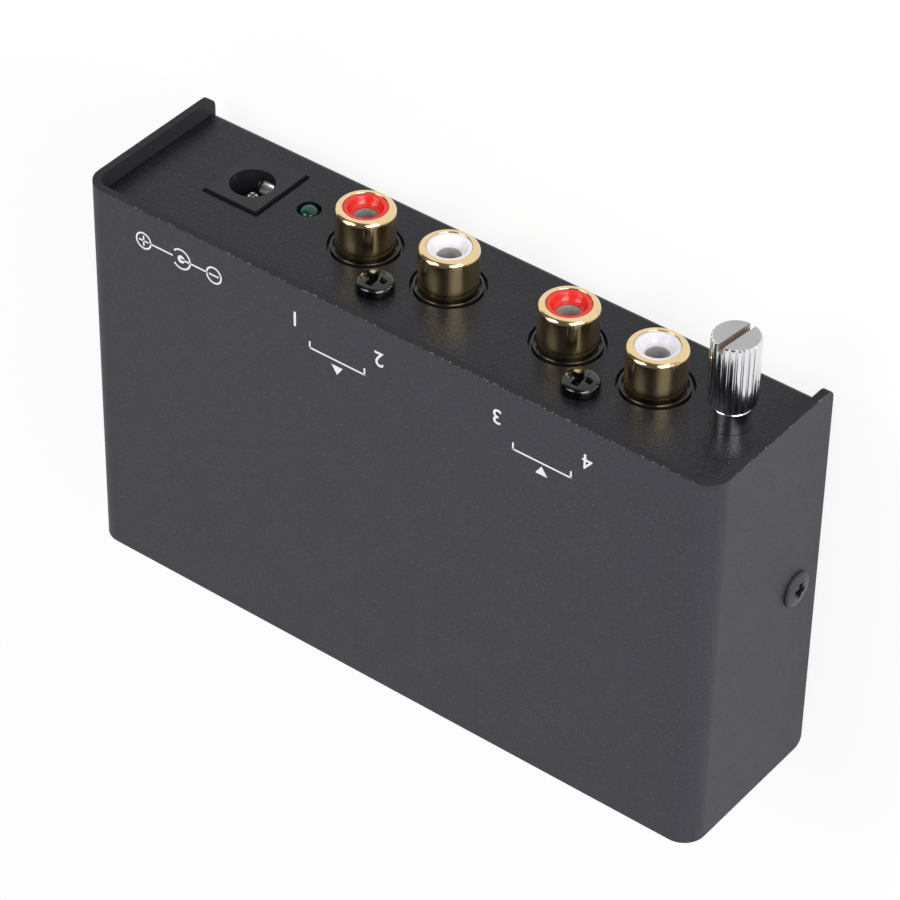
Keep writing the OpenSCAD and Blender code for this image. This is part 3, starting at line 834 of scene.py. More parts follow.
# Solder that has wetted a pad: bright, soft-edged grey metal.
SOLDER = Finish("tin_solder", "#cfd0d2", metallic=1.0, roughness=0.22, grain_mm=0.4, rise_mm=0.02)
# Transfer-moulded epoxy: black with a fine blasted grain.
EPOXY = Finish("moulded_epoxy", "#1c1c1d", roughness=0.58, grain_mm=0.12, rise_mm=0.012)
# Shrink sleeve pulled over an aluminium can: glossy, dark blue.
SLEEVE = CanSleeve("shrink_sleeve", "#1a2242", roughness=0.26, grain_mm=0.8, rise_mm=0.006, coat=0.2)
# Polyester film capacitor cast in a plastic box: satin ochre.
FILM = Finish("cast_film_box", "#b98a2e", roughness=0.45, grain_mm=0.25, rise_mm=0.01)
# Ceramic disc dipped in epoxy: glossy and lumpy.
DIPPED = Finish("dipped_epoxy", "#2f5c96", roughness=0.24, grain_mm=1.1, rise_mm=0.05, coat=0.3)
# Metal-film resistor in pale blue lacquer with four painted bands.
LACQUER = BandedLacquer("banded_lacquer", "#7fa6bd", roughness=0.3, grain_mm=0.5, rise_mm=0.01, coat=0.2,
                        bands=((-2.3, "#6b3f1d"), (-1.1, "#101010"), (0.1, "#c0392b"), (1.9, "#6b3f1d")))
# Diode body: black epoxy with one pale band at its cathode.
DIODE_EPOXY = BandedLacquer("banded_epoxy", "#19191a", roughness=0.4, grain_mm=0.2, rise_mm=0.01,
                            middle_mm=0.5, bands=((1.45, "#c9c9cb"),), half_mm=0.3)


# ---------------------------------------------------------------- geometry node trees


class GeometryTool:
    """A geometry node tree with named inputs, and the way to run it on a mesh."""

    def __init__(self, name: str, inputs: Sequence[tuple[str, str]]) -> None:
        """Starts the tree with its geometry sockets, the named inputs and one for the material.

        Args:
            name: Name of the tree.
            inputs: Name and kind of each input, such as Scale and Float.
        """
        self.tree = bpy.data.node_groups.new(name, "GeometryNodeTree")
        self.tree.is_modifier = True
        sockets = self.tree.interface
        sockets.new_socket("Geometry", in_out="INPUT", socket_type="NodeSocketGeometry")
        self.names: dict[str, str] = {}
        for label, kind in (*inputs, ("Material", "Material")):
            made = sockets.new_socket(label, in_out="INPUT", socket_type="NodeSocket" + kind)
            self.names[label] = made.identifier
        sockets.new_socket("Geometry", in_out="OUTPUT", socket_type="NodeSocketGeometry")
        self.start = self.tree.nodes.new("NodeGroupInput").outputs

    def end(self, geometry: bpy.types.Node) -> None:
        """Ends the tree in real geometry that carries the material.

        Args:
            geometry: The node that gives the finished shape.
        """
        real = add_node(self.tree, "GeometryNodeRealizeInstances", {0: geometry})
        dressed = add_node(self.tree, "GeometryNodeSetMaterial",
                           {"Geometry": real, "Material": self.start["Material"]})
        add_node(self.tree, "NodeGroupOutput", {0: dressed})

    def run(self, host: bpy.types.Object, name: str, finish: Finish,
            values: dict[str, Any]) -> bpy.types.Object:
        """Runs the tree on a host and gives the plain mesh that comes out.

        Args:
            host: The object that the tree starts from. It is removed.
            name: Name of the result.
            finish: Finish of the result.
            values: A value for each named input.

        Returns:
            A plain mesh object.
        """
        modifier = host.modifiers.new(name, "NODES")
        modifier.node_group = self.tree
        for label, value in (*values.items(), ("Material", finish.material())):
            modifier[self.names[label]] = value
        return baked(host, name)


class RepeatTool(GeometryTool):
    """Sets the same piece on every point of its host."""

    def __init__(self) -> None:
        """Builds the tree."""
        super().__init__("repeat_on_points", [("Piece", "Object"), ("Turn", "Vector"), ("Scale", "Float")])
        info = add_node(self.tree, "GeometryNodeObjectInfo", {0: self.start["Piece"], "As Instance": True})
        placed = add_node(self.tree, "GeometryNodeInstanceOnPoints", {
            "Points": self.start["Geometry"], "Instance": info.outputs["Geometry"],
            "Rotation": self.start["Turn"], "Scale": self.start["Scale"],
        })
        self.end(placed)

    def spread(self, name: str, piece: bpy.types.Object, spots: Iterable[Sequence[float]],
               turn: Matrix, finish: Finish) -> bpy.types.Object:
        """Repeats a piece drawn in mm at spots of the box frame.

        Args:
            name: Name of the result.
            piece: The piece, with its origin where each spot goes. It is removed.
            spots: Places in the box frame, in mm.
            turn: Rotation of every copy.
            finish: Finish of every copy.

        Returns:
            One plain mesh object with every copy.
        """
        points = bpy.data.meshes.new(name)
        points.from_pydata([row_point(*spot) for spot in spots], [], [])
        made = self.run(mesh_object(name, points), name, finish,
                        {"Piece": piece, "Turn": tuple(turn.to_euler()), "Scale": MM})
        drop(piece)
        return made


class GroovingTool(GeometryTool):
    """Cuts grooves into a turned blank whose axis is Z, from its crest down to a depth."""

    def __init__(self, name: str, inputs: Sequence[str]) -> None:
        """Starts the tree and finds the angle of each point round the axis.

        Args:
            name: Name of the tree.
            inputs: Names of the numbers that set out the grooves.
        """
        super().__init__(name, [(label, "Float") for label in (*inputs, "Crest", "Depth")])
        place = add_node(self.tree, "GeometryNodeInputPosition")
        self.axes = add_node(self.tree, AXES, {0: place}).outputs
        self.angle = add_node(self.tree, MATH, {0: self.axes[1], 1: self.axes[0]}, operation="ARCTAN2")

    def cut_in(self, groove: bpy.types.Node) -> None:
        """Ends the tree with every point pulled in to its groove.

        Args:
            groove: The node that gives 0 on a crest and 1 at the bottom of a groove.
        """
        tree, (x, y, z) = self.tree, self.axes
        depth = add_node(tree, MATH, {0: groove, 1: self.start["Depth"]}, operation="MULTIPLY")
        limit = add_node(tree, MATH, {0: self.start["Crest"], 1: depth}, operation="SUBTRACT")
        squares = [add_node(tree, MATH, {0: way, 1: way}, operation="MULTIPLY") for way in (x, y)]
        total = add_node(tree, MATH, {0: squares[0], 1: squares[1]}, operation="ADD")
        radius = add_node(tree, MATH, {0: total}, operation="SQRT")
        held = add_node(tree, MATH, {0: radius, 1: limit}, operation="MINIMUM")
        whole = add_node(tree, MATH, {0: radius, 1: 1e-6}, operation="MAXIMUM")
        share = add_node(tree, MATH, {0: held, 1: whole}, operation="DIVIDE")
        moved = [add_node(tree, MATH, {0: way, 1: share}, operation="MULTIPLY") for way in (x, y)]
        place = add_node(tree, "ShaderNodeCombineXYZ", {0: moved[0], 1: moved[1], 2: z})
        self.end(add_node(tree, "GeometryNodeSetPosition",
                          {"Geometry": self.start["Geometry"], "Position": place}))


class KnurlTool(GroovingTool):
    """Presses straight ridges into a turned blank whose axis is Z."""

    def __init__(self) -> None:
        """Builds the tree."""
        super().__init__("straight_knurl", ["Ridges", "Sharpness"])
        turns = add_node(self.tree, MATH, {0: self.angle, 1: self.start["Ridges"]}, operation="MULTIPLY")
        wave = add_node(self.tree, MATH, {0: turns}, operation="SINE")
        lifted = add_node(self.tree, MATH, {0: wave, 1: 0.5, 2: 0.5}, operation="MULTIPLY_ADD")
        self.cut_in(add_node(self.tree, MATH, {0: lifted, 1: self.start["Sharpness"]}, operation="POWER"))


class ThreadTool(GroovingTool):
    """Cuts a right-hand thread into a turned blank whose axis is Z."""

    pitch = 0.5
    depth = 0.27
    rows_per_turn = 8
    tip_chamfer = 0.35

    def __init__(self) -> None:
        """Builds the tree."""
        super().__init__("cut_thread", ["Pitch"])
        turns = add_node(self.tree, MATH, {0: self.angle, 1: 2 * math.pi}, operation="DIVIDE")
        rise = add_node(self.tree, MATH, {0: self.axes[2], 1: self.start["Pitch"]}, operation="DIVIDE")
        phase = add_node(self.tree, MATH, {0: rise, 1: turns}, operation="SUBTRACT")
        flank = add_node(self.tree, MATH, {0: phase, 1: 0.5}, operation="PINGPONG")
        self.cut_in(add_node(self.tree, MATH, {0: flank, 1: 2.0}, operation="MULTIPLY"))

    def shank(self, name: str, radius: float, top: float, tip: float, finish: Finish) -> bpy.types.Object:
        """Makes a threaded shank.

        Args:
            name: Name of the shank.
            radius: Outside radius of its thread, in mm.
            top: Height at which it starts.
            tip: Height of its end, below the top.
            finish: Its finish.

        Returns:
            The shank, in mm.
        """
        rows = int((top - tip) / (self.pitch / self.rows_per_turn))
        heights = [tip + (top - tip) * i / rows for i in range(rows + 1)]
        end = radius - self.tip_chamfer
        profile = [(0.0, tip), (end, tip)] + [(min(radius, end + h - tip), h) for h in heights[1:]]
        blank = lathe(name, profile + [(0.0, top)], 40)
        return self.run(blank, name, finish, {"Pitch": self.pitch, "Crest": radius, "Depth": self.depth})


# ---------------------------------------------------------------- shared small parts


@dataclass
class CrossScrew:
    """A cross-recess screw, drawn with its head on Z = 0 and its shank below."""

    head_r: float
    head_h: float
    crown: float
    shank_len: float
    recess_span: float
    recess_deep: float
    finish: Finish
    recess_finish: Finish | None = None
    shank_r: float = 1.45
    shank_in: float = 0.05
    rim_r: float = 0.42
    rim_share: float = 0.62
    foot_bevel: float = 0.12
    worn_edge: float = 0.06
    crown_rows: tuple[float, ...] = (0.0, 0.2, 0.4, 0.6, 0.8, 0.92)
    blade_half: float = 0.34
    blade_over: float = 0.3
    blade_flare: float = 1.12
    blade_tip_reach: float = 0.42
    blade_tip_thick: float = 0.6
    blade_askew_deg: float = 0.01

    def build(self, name: str, threads: ThreadTool) -> bpy.types.Object:
        """Turns the head, cuts the recess and adds the threaded shank.

        Args:
            name: Name of the screw.
            threads: The tool that cuts its thread.

        Returns:
            The screw, in mm.
        """
        dome = (self.head_r ** 2 + self.crown ** 2) / (2 * self.crown)
        rim = min(self.rim_r, (self.head_h - self.crown) * self.rim_share)
        slope = math.asin((self.head_r - rim) / dome)
        brink = self.head_r - rim + rim * math.sin(slope)
        top = [(r, self.head_h - dome + math.sqrt(dome ** 2 - r ** 2))
               for r in (brink * share for share in self.crown_rows)]
        centre = self.head_h - dome + math.sqrt(dome ** 2 - brink ** 2) - rim * math.cos(slope)
        side = arc(self.head_r - rim, centre, rim, 90 - math.degrees(slope), 0, 8)
        profile = [(0.0, 0.0), (self.head_r - self.foot_bevel, 0.0), (self.head_r, self.foot_bevel)]
        head = lathe(name, profile + side[::-1] + top[::-1], 72)
        head.data.materials.append(self.finish.material())
        head = bevelled(cut(head, [self.blade(turn) for turn in (0, 90)]), self.worn_edge)
        shank = threads.shank(name + "_shank", self.shank_r, self.shank_in, -self.shank_len, self.finish)
        return joined(name, [head, shank])

    def blade(self, turn: float) -> bpy.types.Object:
        """Makes one tapered blade of the cross-shaped tool, a hair askew so that no faces coincide.

        Args:
            turn: Angle round the screw's axis, in degrees.

        Returns:
            The blade, in mm.
        """
        span, thick = self.recess_span / 2, self.blade_half
        work = bmesh.new()
        rows = []
        for z, reach, half in (
            (self.head_h - self.recess_deep, span * self.blade_tip_reach, thick * self.blade_tip_thick),
            (self.head_h + self.blade_over, span * self.blade_flare, thick),
        ):
            rows.append([work.verts.new((x * reach, y * half, z))
                         for x, y in ((-1, -1), (1, -1), (1, 1), (-1, 1))])
        work.faces.new(rows[0][::-1])
        work.faces.new(rows[1])
        for i in range(4):
            j = (i + 1) % 4
            work.faces.new((rows[0][i], rows[0][j], rows[1][j], rows[1][i]))
        bmesh.ops.recalc_face_normals(work, faces=work.faces)
        mesh = finished_mesh("blade", work)
        mesh.transform(Matrix.Rotation(math.radians(turn + self.blade_askew_deg), 4, "Z"))
        mesh.materials.append((self.recess_finish or self.finish).material())
        return mesh_object("blade", mesh)


@dataclass
class Workshop:
    """The tools that every sub-assembly shares, and the list of what it has finished."""

    repeat: RepeatTool = field(default_factory=RepeatTool)
    knurl: KnurlTool = field(default_factory=KnurlTool)
    threads: ThreadTool = field(default_factory=ThreadTool)
    done: list[str] = field(default_factory=list)

    def hand_over(self, piece: bpy.types.Object, body: Body, nodes: Sequence[str] = ()) -> None:
        """Lets a finished piece ride on its body in place of its CAD nodes.

        Args:
            piece: The finished piece, in place.
            body: The body that it moves with.
            nodes: CAD nodes that it stands for.
        """
        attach(piece, body.value)
        if nodes:
            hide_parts(*nodes)
        self.done.append(piece.name)
        LOG.info("%s rides on %s, %d faces", piece.name, body.value, len(piece.data.polygons))

    def dress_copy(self, node: str, finish: Finish, slot: str, width_mm: float,
                   segments: int = 2) -> None:
        """Rounds a copy of a CAD node of the enclosure, gives it a finish and lets it stand for the node.

        Args:
            node: Name of the CAD node.
            finish: Finish of the copy.
            slot: Name of a material slot. Not used.
            width_mm: Width of its rounded edges.
            segments: Faces across each of them.
        """
        piece = softened(node, width_mm, segments)
        piece.data.materials.clear()
        piece.data.materials.append(finish.material())
        self.hand_over(piece, Body.ENCLOSURE, [node])


# ---------------------------------------------------------------- sub-assemblies


@dataclass
class Enclosure:
    """Cover, chassis, cover screws and feet."""

    width: float = 104.0
    cover_edge: float = 0.22
    chassis_edge: float = 0.12
    screw_y: float = -0.8
    screw_z: float = 5.4
    screw_roll: float = 80.0
    foot_r: float = 4.0
    foot_x: float = 42.5
    foot_y: float = 20.0
    foot_dish: float = 0.3
    foot_edge: float = 0.3

    def build(self, shop: Workshop) -> None:
        """Builds and dresses every piece of the enclosure.

        Args:
            shop: The shared tools.
        """
        shop.dress_copy("cover", COVER_COAT, "powder_coat", self.cover_edge, segments=3)
        shop.dress_copy("chassis", CHASSIS_COAT, "powder_coat", self.chassis_edge)
        self.cover_screws(shop)
        self.feet(shop)

    def cover_screws(self, shop: Workshop) -> None:
        """Sets one thin wafer-head screw into each end wall.

        Args:
            shop: The shared tools.
        """
        # The recess walls take the painted shade.
        screw = CrossScrew(head_r=2.6, head_h=0.9, crown=0.35, shank_len=4.6, recess_span=2.6,
                           recess_deep=0.85, finish=PAINTED_SCREW, recess_finish=RECESS_SHADE, blade_half=0.5)
        made = []
        for side in (-1, 1):
            piece = screw.build("cover_screw", shop.threads)
            piece.data.transform(row_matrix(side * (self.width / 2 + FIT_GAP), self.screw_y, self.screw_z,
                                            out_of_end(side, self.screw_roll)))
            made.append(piece)
        shop.hand_over(joined("cover_screws_dressed", made), Body.ENCLOSURE, ["cover_screws"])

    def feet(self, shop: Workshop) -> None:
        """Moulds one rubber foot, dished in its middle, and sticks it on at four places.

        Args:
            shop: The shared tools.
        """
        r, h, dish, edge = self.foot_r, FOOT_H, self.foot_dish, self.foot_edge
        profile = [(0.0, dish), (r * 0.35, dish)] + arc(r * 0.35, 0.0, dish, 90, 20, 3)[1:]
        profile += [(r * 0.45, 0.02), (r * 0.48, 0.0), (r * 0.73, 0.0)]
        profile += arc(r * 0.73, edge, edge, 270, 335, 4)[1:]
        profile += [(r * 0.86, 0.5), (r - 0.04, h - 0.25), (r, h - 0.1), (r, h), (0.0, h)]
        foot = lathe("foot", profile, 56)
        spots = [(x, y, -h) for x in (-self.foot_x, self.foot_x) for y in (-self.foot_y, self.foot_y)]
        piece = shop.repeat.spread("rubber_feet_dressed", foot, spots, Matrix.Identity(4), RUBBER)
        shop.hand_over(piece, Body.ENCLOSURE, ["rubber_feet"])


@dataclass
class Legends:
    """Screened marks on the label face: plain numerals, arrows and the polarity sign."""

    top: float = 26.5
    ink: float = 0.02
    ink_under: float = 0.002
    stroke: float = 0.26
    stroke_end: float = 0.6
    numeral_size: float = 3.375
    numeral_fatten: float = 0.02
    numerals: tuple[tuple[str, float, float], ...] = (
        ("1", 15.0, -25.8), ("2", 0.9, -26.0), ("3", -18.3, -26.2), ("4", -32.6, -26.0))
    arrow_y: float = -22.1
    arrows: tuple[tuple[float, Flow], ...] = ((7.9, Flow.IN), (-25.6, Flow.OUT))
    arrow_half: float = 0.95
    bracket_half: float = 4.6
    bracket_drop: float = 1.0
    pole_y: float = -26.2
    plus_x: float = 41.2
    tip_x: float = 34.6
    minus_x: float = 28.9
    pole_r: float = 1.25
    pole_sign: float = 0.75
    barrel_r: float = 1.55
    dot_r: float = 0.62

    def build(self, shop: Workshop) -> None:
        """Prints every mark as one thin layer of ink.

        Args:
            shop: The shared tools.
        """
        marks = [self.numeral(*n) for n in self.numerals] + self.polarity()
        for x, flow in self.arrows:
            marks += self.arrow(x, flow)
        piece = joined("legends", marks)
        piece.data.transform(row_matrix(0.0, 0.0, self.top))
        piece.data.materials.clear()
        piece.data.materials.append(INK.material())
        shop.hand_over(piece, Body.ENCLOSURE)

    def numeral(self, text: str, x: float, y: float) -> bpy.types.Object:
        """Prints one numeral, upright for a reader in front of the connectors.

        Args:
            text: The numeral.
            x: Place of its middle along the width.
            y: Place of its middle along the depth.

        Returns:
            The numeral, in mm.
        """
        curve = bpy.data.curves.new("numeral", "FONT")
        curve.body = text
        curve.size = self.numeral_size
        curve.align_x, curve.align_y = "CENTER", "CENTER"
        curve.extrude = self.ink / 2
        curve.offset = self.numeral_fatten
        source = bpy.data.objects.new("numeral", curve)
        bpy.context.scene.collection.objects.link(source)
        graph = bpy.context.evaluated_depsgraph_get()
        mesh = bpy.data.meshes.new_from_object(source.evaluated_get(graph), depsgraph=graph)
        bpy.data.objects.remove(source)
        mesh.transform(Matrix.Translation((x, y, self.ink / 2)))
        return mesh_object("numeral_" + text, mesh)

    def printed(self, shapes: Iterable[Sequence[Vector]]) -> bpy.types.Object:
        """Prints flat outlines as one mark of thin slabs, with its faces outward.

        Args:
            shapes: The outlines, each as its corners in mm.

        Returns:
            The mark, in mm.
        """
        work = bmesh.new()
        for flat in shapes:
            low = [work.verts.new((p.x, p.y, self.ink_under)) for p in flat]
            high = [work.verts.new((p.x, p.y, self.ink)) for p in flat]
            work.faces.new(low[::-1])
            work.faces.new(high)
            for i in range(len(flat)):
                j = (i + 1) % len(flat)
                work.faces.new((low[i], low[j], high[j], high[i]))
        bmesh.ops.recalc_face_normals(work, faces=work.faces)
        return mesh_object("mark", finished_mesh("mark", work))

    def ribbon(self, points: Sequence[Point]) -> bpy.types.Object:
        """Prints a line of even width.

        Args:
            points: The points that it runs through, in mm.

        Returns:
            The mark, in mm.
        """
        half = self.stroke / 2
        shapes = []
        for (x0, y0), (x1, y1) in zip(points, points[1:]):
            along = Vector((x1 - x0, y1 - y0)).normalized()
            across = Vector((-along.y, along.x)) * half
            ends = [Vector((x0, y0)) - along * half * self.stroke_end,
                    Vector((x1, y1)) + along * half * self.stroke_end]
            shapes.append([ends[0] - across, ends[1] - across, ends[1] + across, ends[0] + across])
        return self.printed(shapes)

    def ring(self, x: float, radius: float, start: float = 0.0, sweep: float = 360.0) -> bpy.types.Object:
        """Prints an open or closed ring of the usual stroke, in the row of the polarity sign.

        Args:
            x: Place of its middle along the width.
            radius: Its radius, in mm.
            start: Angle at which it begins, in degrees.
            sweep: Angle that it covers.

        Returns:
            The mark, in mm.
        """
        half, steps = self.stroke / 2, 40
        shapes = []
        for i in range(steps):
            a, b = (math.radians(start + sweep * (i + k) / steps) for k in (0, 1))
            shapes.append([Vector((x + (radius + s * half) * math.cos(t),
                                   self.pole_y + (radius + s * half) * math.sin(t)))
                           for t, s in ((a, -1), (b, -1), (b, 1), (a, 1))])
        return self.printed(shapes)

    def polarity(self) -> list[bpy.types.Object]:
        """Prints the sign for a plug whose tip is negative: minus at the dot, plus at the open ring.

        Returns:
            Its marks.
        """
        y, sign, steps = self.pole_y, self.pole_sign, 28
        dot = [Vector((self.tip_x + self.dot_r * math.cos(t), y + self.dot_r * math.sin(t)))
               for t in (2 * math.pi * i / steps for i in range(steps))]
        marks = [self.ring(self.plus_x, self.pole_r), self.ring(self.minus_x, self.pole_r),
                 self.ring(self.tip_x, self.barrel_r, 40, 280), self.printed([dot])]
        lines = (
            ((self.plus_x - sign, y), (self.plus_x + sign, y)),
            ((self.plus_x, y - sign), (self.plus_x, y + sign)),
            ((self.minus_x - sign, y), (self.minus_x + sign, y)),
            ((self.tip_x + self.barrel_r, y), (self.plus_x - self.pole_r, y)),
            ((self.minus_x + self.pole_r, y), (self.tip_x, y)),
        )
        return marks + [self.ribbon(line) for line in lines]

    def arrow(self, x: float, flow: Flow) -> list[bpy.types.Object]:
        """Prints a bracket over a pair of jacks with an arrow into or out of the box.

        Args:
            x: Middle of the pair along the width.
            flow: Way that the signal goes.

        Returns:
            The bracket and the arrow.
        """
        y, half, low = self.arrow_y, self.bracket_half, self.arrow_y - self.bracket_drop
        bracket = self.ribbon([(x - half, low), (x - half, y), (x + half, y), (x + half, low)])
        tip, base = (y + away for away in flow.value)
        return [bracket, self.printed([[Vector((x - self.arrow_half, base)),
                                        Vector((x + self.arrow_half, base)), Vector((x, tip))]])]


@dataclass
class PhonoJacks:
    """Two twin jack blocks with their shells, insulators, contacts and screws."""

    spots_x: tuple[float, ...] = (15.4, 1.4, -18.1, -32.1)
    pairs_x: tuple[float, ...] = (8.4, -25.1)
    axis_z: float = 11.1
    block_edge: float = 0.07
    contact_edge: float = 0.04
    shell_r: float = 4.15
    shell_step: float = 0.2
    reach: float = 6.4
    lip_roll: float = 0.8
    lip_r: float = 3.1
    lip_edge: float = 0.14
    lip_thick: float = 0.5
    inside: float = 8.0
    wall: float = 0.45
    bore_r: float = 1.65
    bore_edge: float = 0.15
    cavity_r: float = 1.97
    cavity_end: float = -7.2
    tail_r: float = 0.65
    tail_end: float = -8.2
    dish_deep: float = 1.3
    brow_r: float = 2.72
    brow_edge: float = 0.32
    screw_up: float = 6.75
    screw_roll: float = 5.0

    def build(self, shop: Workshop) -> None:
        """Builds and dresses every piece of the jacks.

        Args:
            shop: The shared tools.
        """
        for node in ("input_jack_block", "output_jack_block"):
            shop.dress_copy(node, JACK_NYLON, "moulding", self.block_edge)
        for turned, node, spots, finish, slot in (
            (self.shell, "input_jack_shells", self.spots_x[:2], GOLD, "gold_plate"),
            (self.shell, "output_jack_shells", self.spots_x[2:], GOLD, "gold_plate"),
            (self.insulator, "red_insulators", self.spots_x[0::2], RED_PLASTIC, "red_insulator"),
            (self.insulator, "white_insulators", self.spots_x[1::2], WHITE_PLASTIC, "white_insulator"),
        ):
            places = [(x, PANEL_Y, self.axis_z) for x in spots]
            made = shop.repeat.spread(node + "_dressed", turned(), places, out_of_panel(), finish)
            shop.hand_over(made, Body.ENCLOSURE, [node])
        shop.dress_copy("jack_centre_contacts", CONTACT_TIN, "tin_plate", self.contact_edge)
        screw = CrossScrew(head_r=2.65, head_h=1.9, crown=0.45, shank_len=6.5, recess_span=3.7,
                           recess_deep=1.5, finish=BLACK_SCREW, blade_half=0.6, rim_r=0.85)
        piece = shop.repeat.spread(
            "jack_block_screws_dressed", screw.build("block_screw", shop.threads),
            [(x, PANEL_Y - FIT_GAP, self.axis_z + self.screw_up) for x in self.pairs_x],
            out_of_panel(self.screw_roll), BLACK_SCREW)
        shop.hand_over(piece, Body.ENCLOSURE, ["jack_block_screws"])

    def shell(self) -> bpy.types.Object:
        """Turns a shell with its rolled lip and adds its solder tab.

        Returns:
            The shell, in mm.
        """
        r, root, step = self.shell_r, self.shell_r - self.shell_step, self.shell_step
        inner, shoulder, back = r - self.wall, self.reach - self.lip_roll, self.reach - self.lip_thick
        outside = [(root, -self.inside + 0.1), (root, 0.14), (r - 0.03, step), (r, step + 0.06), (r, 2.0),
                   (r, 4.0), (r, shoulder - 0.5)]
        lip = arc(r - self.lip_roll, shoulder, self.lip_roll, 0, 90, 16)
        lip += arc(self.lip_r + self.lip_edge, self.reach - self.lip_edge, self.lip_edge, 90, 180, 4)
        inside = [(self.lip_r, back), (inner, back), (inner, -self.inside), (root - 0.1, -self.inside)]
        shell = lathe("shell", outside + lip + inside, 128, closed=True)
        tab = block("tab", (-0.7, -8.7, -7.4), (0.7, -r + 0.25, -7.0), 0.05)
        return joined("shell", [shell, tab])

    def insulator(self) -> bpy.types.Object:
        """Turns an insulator with its dished face and long bore.

        Returns:
            The insulator, in mm.
        """
        body, nose = self.shell_r - self.wall - FIT_GAP, self.lip_r - FIT_GAP
        ledge = self.reach - self.lip_thick - FIT_GAP
        top, low, edge = self.reach - 0.1, self.reach - self.dish_deep, 0.12
        rim = arc(nose - edge, top - edge, edge, 0, 90, 5)
        rim += arc(self.brow_r, top - self.brow_edge, self.brow_edge, 90, 160, 7)
        brink, height = rim[-1]
        wide, floor, slope = brink - self.bore_r - 0.2, low + 0.02, 1.5
        dish = [(brink - wide * t, floor + (height - low - 0.02) * (1 - t) ** slope)
                for t in (0.15, 0.3, 0.45, 0.6, 0.8, 1.0)]
        mouth = arc(self.bore_r + self.bore_edge, low - 0.13, self.bore_edge, 80, 180, 5)
        neck = self.reach - 1.58
        hole = [(self.bore_r, neck), (self.cavity_r, neck), (self.cavity_r, self.cavity_end),
                (self.tail_r, self.cavity_end), (self.tail_r, self.tail_end), (body, self.tail_end),
                (body, ledge), (nose, ledge)]
        return lathe("insulator", rim + dish + mouth + hole, 96, closed=True)


@dataclass
class PowerEntry:
    """The coaxial power inlet and the lamp beside it."""

    lamp_x: float = 26.3
    lamp_z: float = 9.6
    lamp_r: float = 1.5
    lamp_tip: float = 0.4
    lamp_back: float = 4.9
    flange_wide: float = 0.4
    flange_thick: float = 1.05
    flange_edge: float = 0.1
    copies: tuple[tuple[str, Finish, str, float], ...] = (
        ("dc_jack_housing", INLET_NYLON, "moulding", 0.16),
        ("dc_jack_pin", NICKEL_STRIP, "bright_nickel", 0.03),
        ("dc_jack_spring", NICKEL_STRIP, "bright_nickel", 0.0),
        ("dc_jack_lugs", TIN, "tin_plate", 0.05), ("lamp_leads", TIN, "tin_plate", 0.03),
    )

    def build(self, shop: Workshop) -> None:
        """Builds and dresses every piece of the inlet and the lamp.

        Args:
            shop: The shared tools.
        """
        for copy in self.copies:
            shop.dress_copy(*copy)
        self.lamp(shop)

    def lamp(self, shop: Workshop) -> None:
        """Casts the domed lens with its flange.

        Args:
            shop: The shared tools.
        """
        r, back, edge = self.lamp_r, -self.lamp_back, self.flange_edge
        neck = r + self.flange_wide - edge
        profile = [(0.0, back), (neck, back)] + arc(neck, back + edge, edge, 270, 360, 3)
        profile += [(r + self.flange_wide, back + self.flange_thick - edge), (r, back + self.flange_thick)]
        profile += arc(0.0, self.lamp_tip - r, r, 0, 90, 18)
        profile[-1] = (0.0, self.lamp_tip)
        piece = lathe("power_lamp_dressed", profile, 64)
        piece.data.transform(row_matrix(self.lamp_x, PANEL_Y, self.lamp_z, out_of_panel()))
        piece.data.materials.append(LENS.material())
        shop.hand_over(piece, Body.ENCLOSURE, ["power_lamp"])


